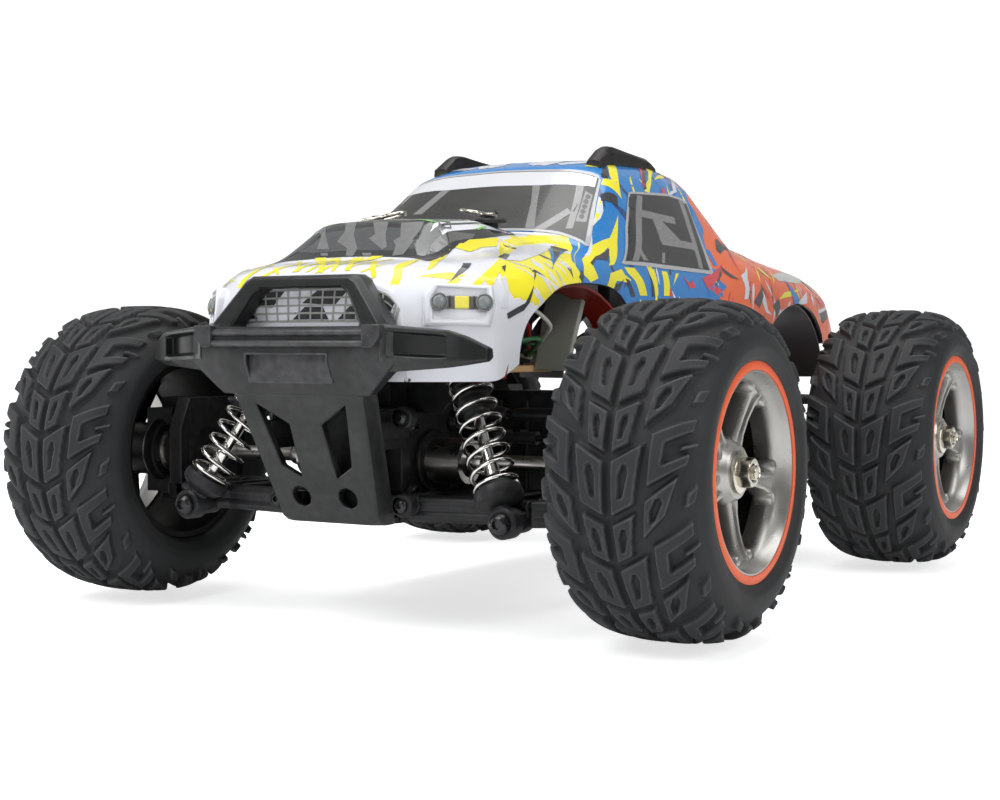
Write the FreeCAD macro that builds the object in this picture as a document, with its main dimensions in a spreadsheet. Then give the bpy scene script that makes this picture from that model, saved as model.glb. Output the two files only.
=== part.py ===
import FreeCAD, Part
import math
import os
import Sketcher

# 1:12 monster truck, in millimetres.  The nose points to -Y, +X is the truck's
# left side, z = 0 is the ground and x = 0 the centre plane.  The origin is the
# middle of the footprint.  Left corners are built, right ones are mirrored.

os.makedirs("parts", exist_ok=True)
doc = FreeCAD.newDocument("monster_truck")
sheet = doc.addObject("Spreadsheet::Sheet", "dims")
DIM = {}    # cell alias -> value
made = []   # finished pieces, one STEP file each


def dim(name, value):
    """Add a named cell to the spreadsheet and return its name."""
    row = len(DIM) + 1
    sheet.set("A%d" % row, name.replace("_", " "))
    sheet.set("B%d" % row, "%.6f" % value)
    sheet.setAlias("B%d" % row, name)
    DIM[name] = float(value)
    return name


# ---- driving dimensions ----------------------------------------------------
for cell, size in [
    # axles and wheels
    ("front_axle_y", -103.0), ("rear_axle_y", 84.6), ("axle_height", 45.0),
    ("tyre_radius", 45.0), ("tyre_half_width", 22.0), ("wheel_centre_x", 93.1),
    ("bead_radius", 27.6), ("rim_seat_radius", 27.5), ("rim_flange_radius", 28.8),
    ("rim_lip_radius", 25.7), ("hub_boss_radius", 7.5),
    # shafts, pins and their bores
    ("stub_radius", 1.95), ("stub_bore_radius", 2.0),
    ("shaft_radius", 2.5), ("bearing_bore_radius", 2.55),
    ("pin_radius", 1.45), ("pin_bore_radius", 1.5), ("loose_bore_radius", 1.9),
    ("kingpin_radius", 1.5), ("kingpin_bore_radius", 1.6), ("shock_screw_radius", 1.5),
    # suspension and half shafts
    ("arm_inner_x", 21.0), ("arm_outer_x", 69.0), ("arm_height", 34.0),
    ("link_height", 58.0), ("kingpin_x", 77.0), ("drive_joint_x", 24.0),
    ("arm_thickness", 4.0), ("drive_ball_radius", 4.2), ("drive_cup_radius", 6.5),
    ("drive_cup_bore", 4.6), ("half_shaft_radius", 2.0),
    # shocks; their y is measured from the axle towards the middle of the truck
    ("shock_top_x", 29.0), ("shock_top_y", -7.4), ("shock_top_z", 78.0),
    ("shock_eye_x", 53.3), ("shock_eye_y", -23.5), ("shock_eye_z", 31.0),
    ("shock_body_radius", 4.6), ("shock_rod_radius", 1.25), ("shock_rod_bore", 1.35),
    ("spring_radius", 5.9), ("spring_wire_radius", 0.42), ("spring_pitch", 3.2),
    # chassis
    ("plate_bottom", 28.5), ("plate_thickness", 2.0),
    ("deck_bottom", 69.5), ("deck_thickness", 2.2),
    # steering; rack_y and tie_rod_y are measured back from the front axle
    ("rack_y", 22.0), ("rack_height", 51.0), ("tie_rod_y", 16.0),
    ("tie_inner_x", 29.0), ("tie_rod_radius", 1.5), ("tie_eye_bore", 2.55),
    ("steer_pin_radius", 1.4), ("servo_x", -19.0), ("servo_shaft_z", 39.0),
    ("horn_pin_radius", 1.5),
    # drive
    ("gear_module", 0.6), ("spur_teeth", 44.0), ("pinion_teeth", 22.0),
    ("gear_width", 5.0), ("motor_radius", 14.0), ("motor_length", 38.0),
    # body and bumper
    ("shell_wall", 1.0), ("tow_hole_radius", 3.0),
]:
    dim(cell, size)
doc.recompute()

FRONT_Y, REAR_Y, AXLE_Z = DIM["front_axle_y"], DIM["rear_axle_y"], DIM["axle_height"]
ARM_IN_X, ARM_OUT_X = DIM["arm_inner_x"], DIM["arm_outer_x"]
ARM_Z, LINK_Z = DIM["arm_height"], DIM["link_height"]
ARM_SPAN_Z = (ARM_Z - DIM["arm_thickness"] / 2, ARM_Z + DIM["arm_thickness"] / 2)
KINGPIN_X, JOINT_X = DIM["kingpin_x"], DIM["drive_joint_x"]
RACK_Y, RACK_Z = FRONT_Y + DIM["rack_y"], DIM["rack_height"]
TIE_Y, TIE_IN_X = FRONT_Y + DIM["tie_rod_y"], DIM["tie_inner_x"]
SERVO_X, SERVO_Z = DIM["servo_x"], DIM["servo_shaft_z"]
FLOOR_Z = DIM["plate_bottom"] + DIM["plate_thickness"]    # top of the chassis plate
PART_FLOOR_Z = FLOOR_Z + 0.1                              # parts standing clear of it
SHAFT_CENTRES = DIM["gear_module"] * (DIM["spur_teeth"] + DIM["pinion_teeth"]) / 2.0
GEAR_Y = 2.0          # front face of the spur gear and pinion
POST_BASE_Z = 71.0
# body posts: x, y, top of the post, underside of the clip washer
BODY_POSTS = [(20, -78, 117, 114.6), (-20, -78, 117, 114.6),
              (18, 72, 116, 114.2), (-18, 72, 116, 114.2)]
SIDES = ((-1, "r"), (1, "l"))
UP = (0, 0, 1)
LEFT = (1, 0, 0)
BACK = (0, 1, 0)


# ---- building helpers ------------------------------------------------------
def value_of(size):
    """A number, or the value of a named cell; a leading minus negates the cell."""
    if isinstance(size, str):
        return -DIM[size[1:]] if size[0] == "-" else DIM[size]
    return float(size)


def tie_to_cell(obj, prop, size, alias):
    """Drive a property from a named cell; a plain number gets a new cell first."""
    if not isinstance(size, str):
        size = dim(alias, size)
    obj.setExpression(prop, "-dims." + size[1:] if size[0] == "-" else "dims." + size)


def bind(obj, prop, size):
    tie_to_cell(obj, prop, size, "%s_%s" % (obj.Name.lower(), prop.lower()))


def placed(base, axis=UP):
    turn = FreeCAD.Rotation(FreeCAD.Vector(0, 0, 1), FreeCAD.Vector(*axis))
    return FreeCAD.Placement(FreeCAD.Vector(*base), turn)


def new(kind, name):
    obj = doc.addObject(kind, name)
    obj.Label = name
    return obj


def fixed(name, shape):
    obj = new("Part::Feature", name)
    obj.Shape = shape
    return obj


def cyl(name, radius, length, base, axis=UP):
    obj = new("Part::Cylinder", name)
    bind(obj, "Radius", radius)
    bind(obj, "Height", length)
    obj.Placement = placed(base, axis)
    return obj


def cyl_x(name, radius, xa, xb, y, z):
    return cyl(name, radius, abs(xb - xa), (min(xa, xb), y, z), LEFT)


def cyl_y(name, radius, x, ya, yb, z):
    return cyl(name, radius, abs(yb - ya), (x, min(ya, yb), z), BACK)


def cone(name, radius1, radius2, length, base, axis):
    obj = new("Part::Cone", name)
    bind(obj, "Radius1", radius1)
    bind(obj, "Radius2", radius2)
    bind(obj, "Height", length)
    obj.Placement = placed(base, axis)
    return obj


def ball(name, radius, centre):
    obj = new("Part::Sphere", name)
    bind(obj, "Radius", radius)
    obj.Placement = placed(centre, LEFT)
    return obj


def box(name, *spans):
    """A box from its x, y and z spans; either end of a span may come first."""
    obj = new("Part::Box", name)
    spans = [sorted(span) for span in spans]
    for prop, (low, high) in zip(("Length", "Width", "Height"), spans):
        bind(obj, prop, high - low)
    obj.Placement = placed([low for low, high in spans])
    return obj


def hexagon(name, flats, length, base):
    """A hexagonal bar along +X, sized across its flats."""
    obj = new("Part::Prism", name)
    obj.Polygon = 6
    bind(obj, "Circumradius", flats / math.sqrt(3.0))
    bind(obj, "Height", length)
    obj.Placement = placed(base, LEFT)
    return obj


def fuse(name, *shapes):
    obj = new("Part::MultiFuse", name)
    obj.Shapes = list(shapes)
    return obj


def cut(name, base, *tools):
    obj = new("Part::Cut", name)
    obj.Base = base
    obj.Tool = tools[0] if len(tools) == 1 else fuse(name + "_tools", *tools)
    return obj


def group(name, *shapes):
    obj = new("Part::Compound", name)
    obj.Links = list(shapes)
    return obj


def mirrored(name, source):
    """The same piece on the other side of the centre plane."""
    obj = new("Part::Mirroring", name)
    obj.Source = source
    obj.Normal = FreeCAD.Vector(1, 0, 0)
    obj.Base = FreeCAD.Vector(0, 0, 0)
    return obj


def outline(body, name, role, pts):
    """A closed polygon sketch with every corner tied to cells."""
    sketch = body.newObject("Sketcher::SketchObject", name)
    base_plane = next(f for f in body.Origin.OriginFeatures if f.Role == role)
    sketch.AttachmentSupport = [(base_plane, "")]
    sketch.MapMode = "FlatFace"
    count = len(pts)
    corners = [FreeCAD.Vector(value_of(a), value_of(b), 0) for a, b in pts]
    for i in range(count):
        sketch.addGeometry(Part.LineSegment(corners[i], corners[(i + 1) % count]), False)
    for i in range(count):
        sketch.addConstraint(Sketcher.Constraint("Coincident", i, 2, (i + 1) % count, 1))
    for i in range(count):
        # a zero coordinate sits on the other axis: -2 is vertical, -1 horizontal
        for k, kind, axis in ((0, "DistanceX", -2), (1, "DistanceY", -1)):
            size = corners[i][k]
            if abs(size) < 1e-9:
                sketch.addConstraint(Sketcher.Constraint("PointOnObject", i, 1, axis))
                continue
            index = sketch.addConstraint(Sketcher.Constraint(kind, -1, 1, i, 1, size))
            tie_to_cell(sketch, "Constraints[%d]" % index, pts[i][k],
                        "%s_%s%d" % (name.lower(), "xy"[k], i + 1))
    return sketch


def add_windows(body, name, pts, count):
    """Pocket one opening along X and repeat it round the X axis."""
    sketch = outline(body, name + "_window", "YZ_Plane", pts)
    pocket = body.newObject("PartDesign::Pocket", name + "_opening")
    pocket.Profile = sketch
    pocket.Type = "Length"
    bind(pocket, "Length", 130.0)
    pocket.Reversed = True
    body.Tip = pocket
    pattern = body.newObject("PartDesign::PolarPattern", name + "_openings")
    pattern.Originals = [pocket]
    pattern.Axis = (sketch, ["N_Axis"])
    pattern.Angle = 360.0
    pattern.Occurrences = count
    body.Tip = pattern


def turned(name, pts, base, windows=None):
    """A body revolved about its local X axis; pts are (x, radius)."""
    body = new("PartDesign::Body", name)
    sketch = outline(body, name + "_profile", "XY_Plane", pts)
    turn = body.newObject("PartDesign::Revolution", name + "_turn")
    turn.Profile = sketch
    turn.ReferenceAxis = (sketch, ["H_Axis"])
    turn.Angle = 360.0
    body.Tip = turn
    if windows:
        add_windows(body, name, windows, count=5)
    body.Placement = placed(base)
    return body


def prism(name, role, pts, length, base):
    """A padded outline: XY grows to +Z, XZ grows to -Y, YZ grows to +X."""
    body = new("PartDesign::Body", name)
    sketch = outline(body, name + "_outline", role, pts)
    pad = body.newObject("PartDesign::Pad", name + "_pad")
    pad.Profile = sketch
    bind(pad, "Length", length)
    body.Tip = pad
    body.Placement = placed(base)
    return body


def both_sides(half):
    """Close a half outline with its mirror image; points on x = 0 are not doubled."""
    return half + [(-x, v) for x, v in reversed(half) if x > 1e-6]


def from_front(pts):
    """(y, z) points measured from the front axle, moved to truck y."""
    return [(FRONT_Y + y, z) for y, z in pts]


def measured_from(axle_y, inward):
    """Turn offsets from an axle, positive towards mid truck, into truck y."""
    return lambda offset: axle_y + inward * offset


def shock_line(axle_y, inward, side):
    """Top pivot, lower eye and unit direction of the top pivot pin."""
    y_at = measured_from(axle_y, inward)
    top, eye = [FreeCAD.Vector(side * DIM["shock_%s_x" % end], y_at(DIM["shock_%s_y" % end]),
                               DIM["shock_%s_z" % end]) for end in ("top", "eye")]
    pin = FreeCAD.Vector(0, 0, 1).cross(eye - top)
    pin.normalize()
    if pin.y * inward < 0:
        pin = pin * -1.0
    return top, eye, pin


# ---- wheels and axles ------------------------------------------------------
# hollow carcass with round shoulders and a shallow centre groove:
# (x from the wheel centre, radius)
TYRE_PROFILE = [
    (-19, "bead_radius"), (-21.4, 30.5), ("-tyre_half_width", 35), (-21.4, 39),
    (-19.5, 42.3), (-16, 44.2), (-8, 44.8), (-1.2, "tyre_radius"), (-1.2, 43.4),
    (1.2, 43.4), (1.2, "tyre_radius"), (8, 44.8), (16, 44.2), (19.5, 42.3), (21.4, 39),
    ("tyre_half_width", 35), (21.4, 30.5), (20.9, 28.95), (18.95, 28.95),
    (18.95, "bead_radius"), (16.5, "bead_radius"), (18.8, 31.5), (19, 35), (18.2, 38.2),
    (15.5, 40.4), (8, 41.2), (-8, 41.2), (-15.5, 40.4), (-18.2, 38.2), (-19, 35),
    (-18.8, 31.5), (-16.5, "bead_radius")]
# barrel, outer flange, web and hub boss: (truck x, radius)
RIM_PROFILE = [
    (74.5, "rim_seat_radius"), (112.1, "rim_seat_radius"), (112.1, "rim_flange_radius"),
    (113.7, "rim_flange_radius"), (113.7, "rim_lip_radius"), (108.2, 24.7), (107.5, 24.5),
    (107.5, "hub_boss_radius"), (109, "hub_boss_radius"), (109, "stub_bore_radius"),
    (102.5, "stub_bore_radius"), (102.5, "hub_boss_radius"), (103.5, "hub_boss_radius"),
    (103.5, 25.2), (74.5, 25.4)]
# one web opening: (radius, degrees from its middle line)
RIM_WINDOW = [(9.4, -13.5), (16.0, -21.0), (23.9, -25.5), (24.3, -13), (24.4, 0),
              (24.3, 13), (23.9, 25.5), (16.0, 21.0), (9.4, 13.5)]
RIM_WINDOW_ANGLE = -90 + 36
# drive cup, journal, shoulder and outer end: (truck x, radius)
STUB_PROFILE = [
    (73, "drive_cup_bore"), (73, "drive_cup_radius"), (83.8, "drive_cup_radius"),
    (83.8, "shaft_radius"), (98, "shaft_radius"), (98, 3.4), (102.4, 3.4),
    (102.4, "stub_radius"), (114, "stub_radius"), (114, 0), (82.4, 0),
    (81.8, "drive_cup_bore")]


def make_rim(tag, axle_y):
    window = []
    for radius, degrees in RIM_WINDOW:
        angle = math.radians(degrees + RIM_WINDOW_ANGLE)
        window.append((radius * math.cos(angle), radius * math.sin(angle)))
    return turned("rim_" + tag, RIM_PROFILE, (0, axle_y, AXLE_Z), windows=window)


def make_axle(tag, axle_y):
    """Stub axle with its wheel hex, and the separate flanged nut."""
    stub = turned("stub_" + tag, STUB_PROFILE, (0, axle_y, AXLE_Z))
    wheel_hex = hexagon("hex_" + tag, 12.0, 4.4, (98, axle_y, AXLE_Z))
    nut = cut("nut_" + tag, fuse(
        "nut_blank_" + tag,
        cyl_x("nut_flange_" + tag, 5.6, 109.1, 110.1, axle_y, AXLE_Z),
        hexagon("nut_hex_" + tag, 7.0, 3.2, (110.1, axle_y, AXLE_Z))),
        cyl_x("nut_bore_" + tag, "stub_bore_radius", 108, 115, axle_y, AXLE_Z))
    return group("axle_" + tag, fuse("stub_hex_" + tag, stub, wheel_hex), nut)


def make_half_shaft(tag, axle_y):
    """A slim bar with a ball at each end."""
    return fuse(
        "half_shaft_" + tag,
        cyl_x("half_bar_" + tag, "half_shaft_radius", JOINT_X, KINGPIN_X, axle_y, AXLE_Z),
        ball("half_ball_in_" + tag, "drive_ball_radius", (JOINT_X, axle_y, AXLE_Z)),
        ball("half_ball_out_" + tag, "drive_ball_radius", (KINGPIN_X, axle_y, AXLE_Z)))


# ---- suspension ------------------------------------------------------------
def make_lower_arm(tag, axle_y, inward):
    """Tapering blade with a window, hinge barrel, outer fork, pins and shock post."""
    y_at = measured_from(axle_y, inward)
    eye_x, eye_z = DIM["shock_eye_x"], DIM["shock_eye_z"]
    blade_pts = [(20, -18), (46, -13.2), (65, -12.4), (65, 12.4), (46, 15), (20, 18)]
    blade = prism("arm_blade_" + tag, "XY_Plane", [(x, inward * y) for x, y in blade_pts],
                  "arm_thickness", (0, axle_y, ARM_SPAN_Z[0]))
    window = box("arm_window_" + tag, (28, 58), (y_at(-8), y_at(8)), (ARM_Z - 3, ARM_Z + 3))
    rib = box("arm_rib_" + tag, (27, 60), (y_at(-1.5), y_at(1.5)), ARM_SPAN_Z)
    bits = [
        cyl_y("arm_barrel_" + tag, 3.0, ARM_IN_X, y_at(-20.2), y_at(20.2), ARM_Z),
        cyl_y("arm_hinge_" + tag, "pin_radius", ARM_IN_X, y_at(-24.4), y_at(24.4), ARM_Z),
        box("arm_post_web_" + tag, (49.8, 57), (y_at(-20.4), y_at(-11)),
            (ARM_Z - 4.5, ARM_Z - 1.6)),
        cyl_y("arm_post_" + tag, 3.2, eye_x, y_at(-20.4), y_at(-13), eye_z),
        cyl_y("arm_screw_" + tag, "shock_screw_radius", eye_x, y_at(-26.7), y_at(-20), eye_z),
        cyl_y("arm_screw_head_" + tag, 2.8, eye_x, y_at(-28.4), y_at(-26.6), eye_z),
        cyl_y("arm_outer_pin_" + tag, "pin_radius", ARM_OUT_X, y_at(-12.6), y_at(12.6), ARM_Z)]
    for k, (a, b) in enumerate(((9.4, 12.6), (-12.6, -9.4))):
        bits.append(box("arm_ear_%s%d" % (tag, k), (62, ARM_OUT_X), (y_at(a), y_at(b)),
                        ARM_SPAN_Z))
        bits.append(cyl_y("arm_eye_%s%d" % (tag, k), 3.2, ARM_OUT_X, y_at(a), y_at(b), ARM_Z))
    return fuse("lower_arm_" + tag, cut("arm_frame_" + tag, blade, window), rib, *bits)


def make_upper_link(tag, y_at):
    """A bar with an eye at each end, held beside the carrier."""
    return cut("upper_link_" + tag, fuse(
        "link_blank_" + tag,
        cyl_x("link_bar_" + tag, 1.8, ARM_IN_X + 2, ARM_OUT_X - 2, y_at(12), LINK_Z),
        cyl_y("link_eye_in_" + tag, 3.4, ARM_IN_X, y_at(9.7), y_at(14.3), LINK_Z),
        cyl_y("link_eye_out_" + tag, 3.4, ARM_OUT_X, y_at(9.7), y_at(14.3), LINK_Z)),
        cyl_y("link_bore_in_" + tag, "pin_bore_radius", ARM_IN_X, y_at(9), y_at(15), LINK_Z),
        cyl_y("link_bore_out_" + tag, "loose_bore_radius", ARM_OUT_X, y_at(9), y_at(15),
              LINK_Z))


def make_knuckle(tag, axle_y, hub_bits, hub_bore):
    """Steered hub with two kingpin lugs and a steering arm (front only)."""
    lug_y = (axle_y - 4, axle_y + 4)
    steer_bits = [
        box("knuckle_top_" + tag, (74.2, 88), lug_y, (54, 58)),
        box("knuckle_low_" + tag, (74.2, 88), lug_y, (32, 36)),
        box("knuckle_arm_root_" + tag, (85, 92), (axle_y + 3, axle_y + 18), (42, 47.6)),
        box("knuckle_arm_" + tag, (74.5, 90), (TIE_Y - 3, TIE_Y + 3), (45, 47.6))]
    blank = fuse("knuckle_blank_" + tag, *(hub_bits + steer_bits))
    kingpin_bore = cyl("kingpin_bore_" + tag, "kingpin_bore_radius", 34.0,
                       (KINGPIN_X, axle_y, 29))
    return fuse("knuckle_" + tag, cut("knuckle_body_" + tag, blank, hub_bore, kingpin_bore),
                cyl("steer_pin_" + tag, "steer_pin_radius", 8.0, (KINGPIN_X, TIE_Y, 46.6)))


def make_hub(tag, axle_y, inward):
    """The hub carrier; at the front a knuckle swings in it, at the rear it holds the hub."""
    y_at = measured_from(axle_y, inward)
    rise_y = (y_at(-4), y_at(4))
    web = fuse("carrier_web_" + tag,
               box("carrier_plate_" + tag, (66.2, 71), (y_at(-9), y_at(9)), (28.5, 61.5)),
               cyl_y("carrier_boss_" + tag, 3.3, ARM_OUT_X, y_at(-9), y_at(9), ARM_Z))
    holes = [cyl_x("carrier_window_" + tag, 7.5, 60, 73.5, axle_y, AXLE_Z),
             cyl_y("carrier_bore_" + tag, "pin_bore_radius", ARM_OUT_X, y_at(-10), y_at(10),
                   ARM_Z)]
    link_pin = cyl_y("carrier_pin_" + tag, "steer_pin_radius", ARM_OUT_X, y_at(8), y_at(14.8),
                     LINK_Z)
    hub_bits = [cyl_x("hub_ring_" + tag, 8.0, 84, 96, axle_y, AXLE_Z),
                box("hub_top_rise_" + tag, (84, 88), rise_y, (50, 58)),
                box("hub_low_rise_" + tag, (84, 88), rise_y, (32, 40))]
    hub_bore = cyl_x("hub_bore_" + tag, "bearing_bore_radius", 83, 97, axle_y, AXLE_Z)
    if inward < 0:
        arms = [box("carrier_top_" + tag, (70, 88), rise_y, (54, 58)),
                box("carrier_low_" + tag, (70, 88), rise_y, (32, 36))]
        blank = fuse("carrier_blank_" + tag, web, *(hub_bits + arms))
        body = cut("carrier_body_" + tag, blank, hub_bore, *holes)
        return [fuse("hub_carrier_" + tag, body, link_pin)]
    ear_y = (y_at(-5), y_at(5))
    ears = [box("carrier_ear_top_" + tag, (70, 81), ear_y, (58.4, 61.5)),
            box("carrier_ear_low_" + tag, (70, 81), ear_y, (28.5, 31.6)),
            cyl("kingpin_top_" + tag, "kingpin_radius", 5.0, (KINGPIN_X, axle_y, 54.4)),
            cyl("kingpin_low_" + tag, "kingpin_radius", 5.0, (KINGPIN_X, axle_y, 30.6))]
    carrier = fuse("hub_carrier_" + tag, cut("carrier_body_" + tag, web, *holes),
                   link_pin, *ears)
    return [carrier, make_knuckle(tag, axle_y, hub_bits, hub_bore)]


def make_shock(tag, axle_y, inward):
    """Upper body with eye and collar, lower rod with cup and eyelet, and the spring."""
    top, eye, pin = shock_line(axle_y, inward, 1)
    length = (eye - top).Length
    down = (eye - top) * (1.0 / length)

    def along(name, radius, start, end):
        # a cylinder between two distances down the shock from its top pivot
        return cyl("%s_%s" % (name, tag), radius, end - start, top + down * start, down)

    body = cut("shock_body_" + tag, fuse(
        "shock_blank_" + tag,
        cyl("shock_eye_" + tag, 3.2, 4.6, top - pin * 2.3, pin),
        along("shock_neck", 2.6, 2.0, 7.0),
        cone("shock_cap_" + tag, 3.4, 4.6, 2.0, top + down * 5.2, down),
        along("shock_can", "shock_body_radius", 7.0, 30.0),
        along("shock_collar", 6.7, 8.2, 10.4)),
        cyl("shock_eye_bore_" + tag, 1.6, 6.0, top - pin * 3, pin),
        along("shock_bore", "shock_rod_bore", 8.4, 31.0))
    rod = cut("shock_rod_" + tag, fuse(
        "rod_blank_" + tag,
        along("rod", "shock_rod_radius", 16.0, 49.0),
        along("rod_cup", 6.4, 46.1, 48.6),
        cone("rod_taper_" + tag, 3.6, 1.8, 2.2, top + down * 48.6, down),
        along("rod_neck", 1.8, 48.6, length - 2.5),
        cyl_y("rod_eye_" + tag, 4.0, eye.x, eye.y - 2.5, eye.y + 2.5, eye.z)),
        cyl_y("rod_eye_bore_" + tag, 2.2, eye.x, eye.y - 3.5, eye.y + 3.5, eye.z))
    spring_length = 34.2
    radius = DIM["spring_radius"]
    helix = Part.makeHelix(DIM["spring_pitch"], spring_length, radius)
    wire = Part.Wire([Part.makeCircle(DIM["spring_wire_radius"], FreeCAD.Vector(radius, 0, 0),
                                      FreeCAD.Vector(0, 1, 0))])
    spring = fixed("spring_" + tag, Part.Wire(helix.Edges).makePipeShell([wire], True, True))
    spring.Placement = placed(top + down * 11.2, down)
    return [body, rod, spring]


def make_corner(tag, axle_y, inward):
    """Everything at one left-hand wheel, and its mirror image on the right."""
    left = [turned("tyre_" + tag, TYRE_PROFILE, (DIM["wheel_centre_x"], axle_y, AXLE_Z)),
            make_rim(tag, axle_y),
            make_axle(tag, axle_y),
            make_half_shaft(tag, axle_y),
            make_lower_arm(tag, axle_y, inward),
            make_upper_link(tag, measured_from(axle_y, inward))]
    left += make_hub(tag, axle_y, inward)
    left += make_shock(tag, axle_y, inward)
    made.extend(left)
    made.extend([mirrored(piece.Label[:-1] + "r", piece) for piece in left])


make_corner("fl", FRONT_Y, 1)
make_corner("rl", REAR_Y, -1)


# ---- gearbox housings with shock tower and arm mounts ----------------------
TOWER_HALF = [(12, 56), (20, 65), (36.5, 72), (36.5, 82), (24, 82.5), (12, 80)]    # (x, z)


def make_gearbox(end, axle_y, inward):
    y_at = measured_from(axle_y, inward)
    solid = [box(end + "_base", (-16, 16), (y_at(-24.5), y_at(24.5)), (FLOOR_Z, 34)),
             box(end + "_case", (-15, 15), (y_at(-15), y_at(15)), (33, 59)),
             box(end + "_riser", (-12, 12), (y_at(0), y_at(15)), (58, DIM["deck_bottom"]))]
    holes = [box(end + "_cavity", (-12.5, 12.5), (y_at(-12.5), y_at(12.5)), (34.5, 56)),
             cyl_x(end + "_side_bore", 5.06, -16, 16, axle_y, AXLE_Z),
             cyl_y(end + "_shaft_bore", "bearing_bore_radius", 0, y_at(12), y_at(16), AXLE_Z)]
    pins = []
    for side, letter in SIDES:
        for k, (a, b) in enumerate(((20.5, 24.5), (-24.5, -20.5))):
            solid.append(box("%s_mount_%s%d" % (end, letter, k), (side * 14, side * 25),
                             (y_at(a), y_at(b)), (FLOOR_Z, 37.8)))
        solid.append(box("%s_lug_%s" % (end, letter), (side * 14, side * 24.2),
                         (y_at(6), y_at(9.4)), (54.6, 61.4)))
        holes.append(cyl_y("%s_hinge_bore_%s" % (end, letter), "pin_bore_radius",
                           side * ARM_IN_X, y_at(-26), y_at(26), ARM_Z))
        pins.append(cyl_y("%s_link_pin_%s" % (end, letter), "pin_radius",
                          side * ARM_IN_X, y_at(8), y_at(14.8), LINK_Z))
        top, _, pin = shock_line(axle_y, inward, side)
        pins.append(cyl("%s_shock_pin_%s" % (end, letter), "shock_screw_radius", 10.4,
                        top - pin * 3.4, pin))
        pins.append(cyl("%s_shock_head_%s" % (end, letter), 2.7, 1.6, top - pin * 4.4, pin))
    # the tower spans -3 to 1 from the axle and its pad grows to -Y
    solid.append(prism(end + "_tower", "XZ_Plane", both_sides(TOWER_HALF), 4.0,
                       (0, max(y_at(1), y_at(-3)), 0)))
    if inward > 0:
        # two slotted guides carry the steering rack
        for side, letter in SIDES:
            solid.append(box("%s_guide_%s" % (end, letter), (side * 8, side * 13),
                             (y_at(14), y_at(23.6)), (RACK_Z - 4, RACK_Z + 4)))
        holes.append(box(end + "_guide_slot", (-14, 14), (y_at(19.9), y_at(24.2)),
                         (RACK_Z - 2.1, RACK_Z + 2.1)))
    blank = fuse(end + "_housing_blank", *solid)
    return fuse(end + "_gearbox", cut(end + "_housing", blank, *holes), *pins)


made.append(make_gearbox("front", FRONT_Y, 1))
made.append(make_gearbox("rear", REAR_Y, -1))


# ---- steering: rack, tie rods, servo horn ----------------------------------
def make_rack():
    """Cross bar with a tie rod pin each side and a slotted tail for the horn."""
    bar = box("rack_bar", (-33, 33), (RACK_Y - 2, RACK_Y + 2), (RACK_Z - 2, RACK_Z + 2))
    pins = [cyl_y("rack_pin_" + letter, "pin_radius", side * TIE_IN_X,
                  FRONT_Y + 13.6, FRONT_Y + 21, RACK_Z) for side, letter in reversed(SIDES)]
    tail = box("rack_tail", (SERVO_X - 5.5, SERVO_X + 5.5), (FRONT_Y + 23.9, FRONT_Y + 27.4),
               (RACK_Z - 6, RACK_Z + 6))
    slot = box("rack_slot", (SERVO_X - 2.1, SERVO_X + 2.1), (FRONT_Y + 24.2, FRONT_Y + 28),
               (RACK_Z - 4.2, RACK_Z + 4.2))
    return cut("steering_rack", fuse("rack_blank", bar, *pins, tail), slot)


def make_tie_rod():
    return cut("tie_rod_left", fuse(
        "tie_blank",
        cyl_x("tie_bar", "tie_rod_radius", 31, 73.6, TIE_Y, RACK_Z),
        cyl_y("tie_eye_in", 3.2, TIE_IN_X, TIE_Y - 2, TIE_Y + 2, RACK_Z),
        cyl("tie_eye_out", 4.3, 3.6, (KINGPIN_X, TIE_Y, RACK_Z - 1.8))),
        cyl_y("tie_bore_in", "pin_bore_radius", TIE_IN_X, TIE_Y - 3, TIE_Y + 3, RACK_Z),
        cyl("tie_bore_out", "tie_eye_bore", 6.0, (KINGPIN_X, TIE_Y, RACK_Z - 3)))


def make_horn():
    front, back = FRONT_Y + 28, FRONT_Y + 30.6
    return fuse(
        "servo_horn",
        box("horn_arm", (SERVO_X - 2.6, SERVO_X + 2.6), (front, back), (SERVO_Z, RACK_Z)),
        cyl_y("horn_tip", 2.6, SERVO_X, front, back, RACK_Z),
        cyl_y("horn_hub", 4.2, SERVO_X, front, FRONT_Y + 32.6, SERVO_Z),
        cyl_y("horn_pin", "horn_pin_radius", SERVO_X, FRONT_Y + 24.5, FRONT_Y + 29, RACK_Z),
        cyl_y("horn_shaft", 2.0, SERVO_X, FRONT_Y + 32, FRONT_Y + 37, SERVO_Z))


tie_rod = make_tie_rod()
made.extend([make_rack(), tie_rod, mirrored("tie_rod_right", tie_rod), make_horn()])


# ---- drive train -----------------------------------------------------------
# one trapezoid tooth: (height from the pitch circle in modules, angle in pitches)
TOOTH = ((-0.8, -0.26), (0.45, -0.13), (0.45, 0.13), (-0.8, 0.26))
# spool with ring gear and an outdrive cup at each end: (x, radius)
DIFF_PROFILE = [
    (-28, "drive_cup_bore"), (-28, "drive_cup_radius"), (-16.2, "drive_cup_radius"),
    (-16.2, 5.0), (-9, 5.0), (-9, 4.5), (4.6, 4.5), (4.6, 9.0), (6.2, 10.0), (9, 10.0),
    (9, 5.0), (16.2, 5.0), (16.2, "drive_cup_radius"), (28, "drive_cup_radius"),
    (28, "drive_cup_bore"), (19.5, "drive_cup_bore"), (19, 0), (-19, 0),
    (-19.5, "drive_cup_bore")]


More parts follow.
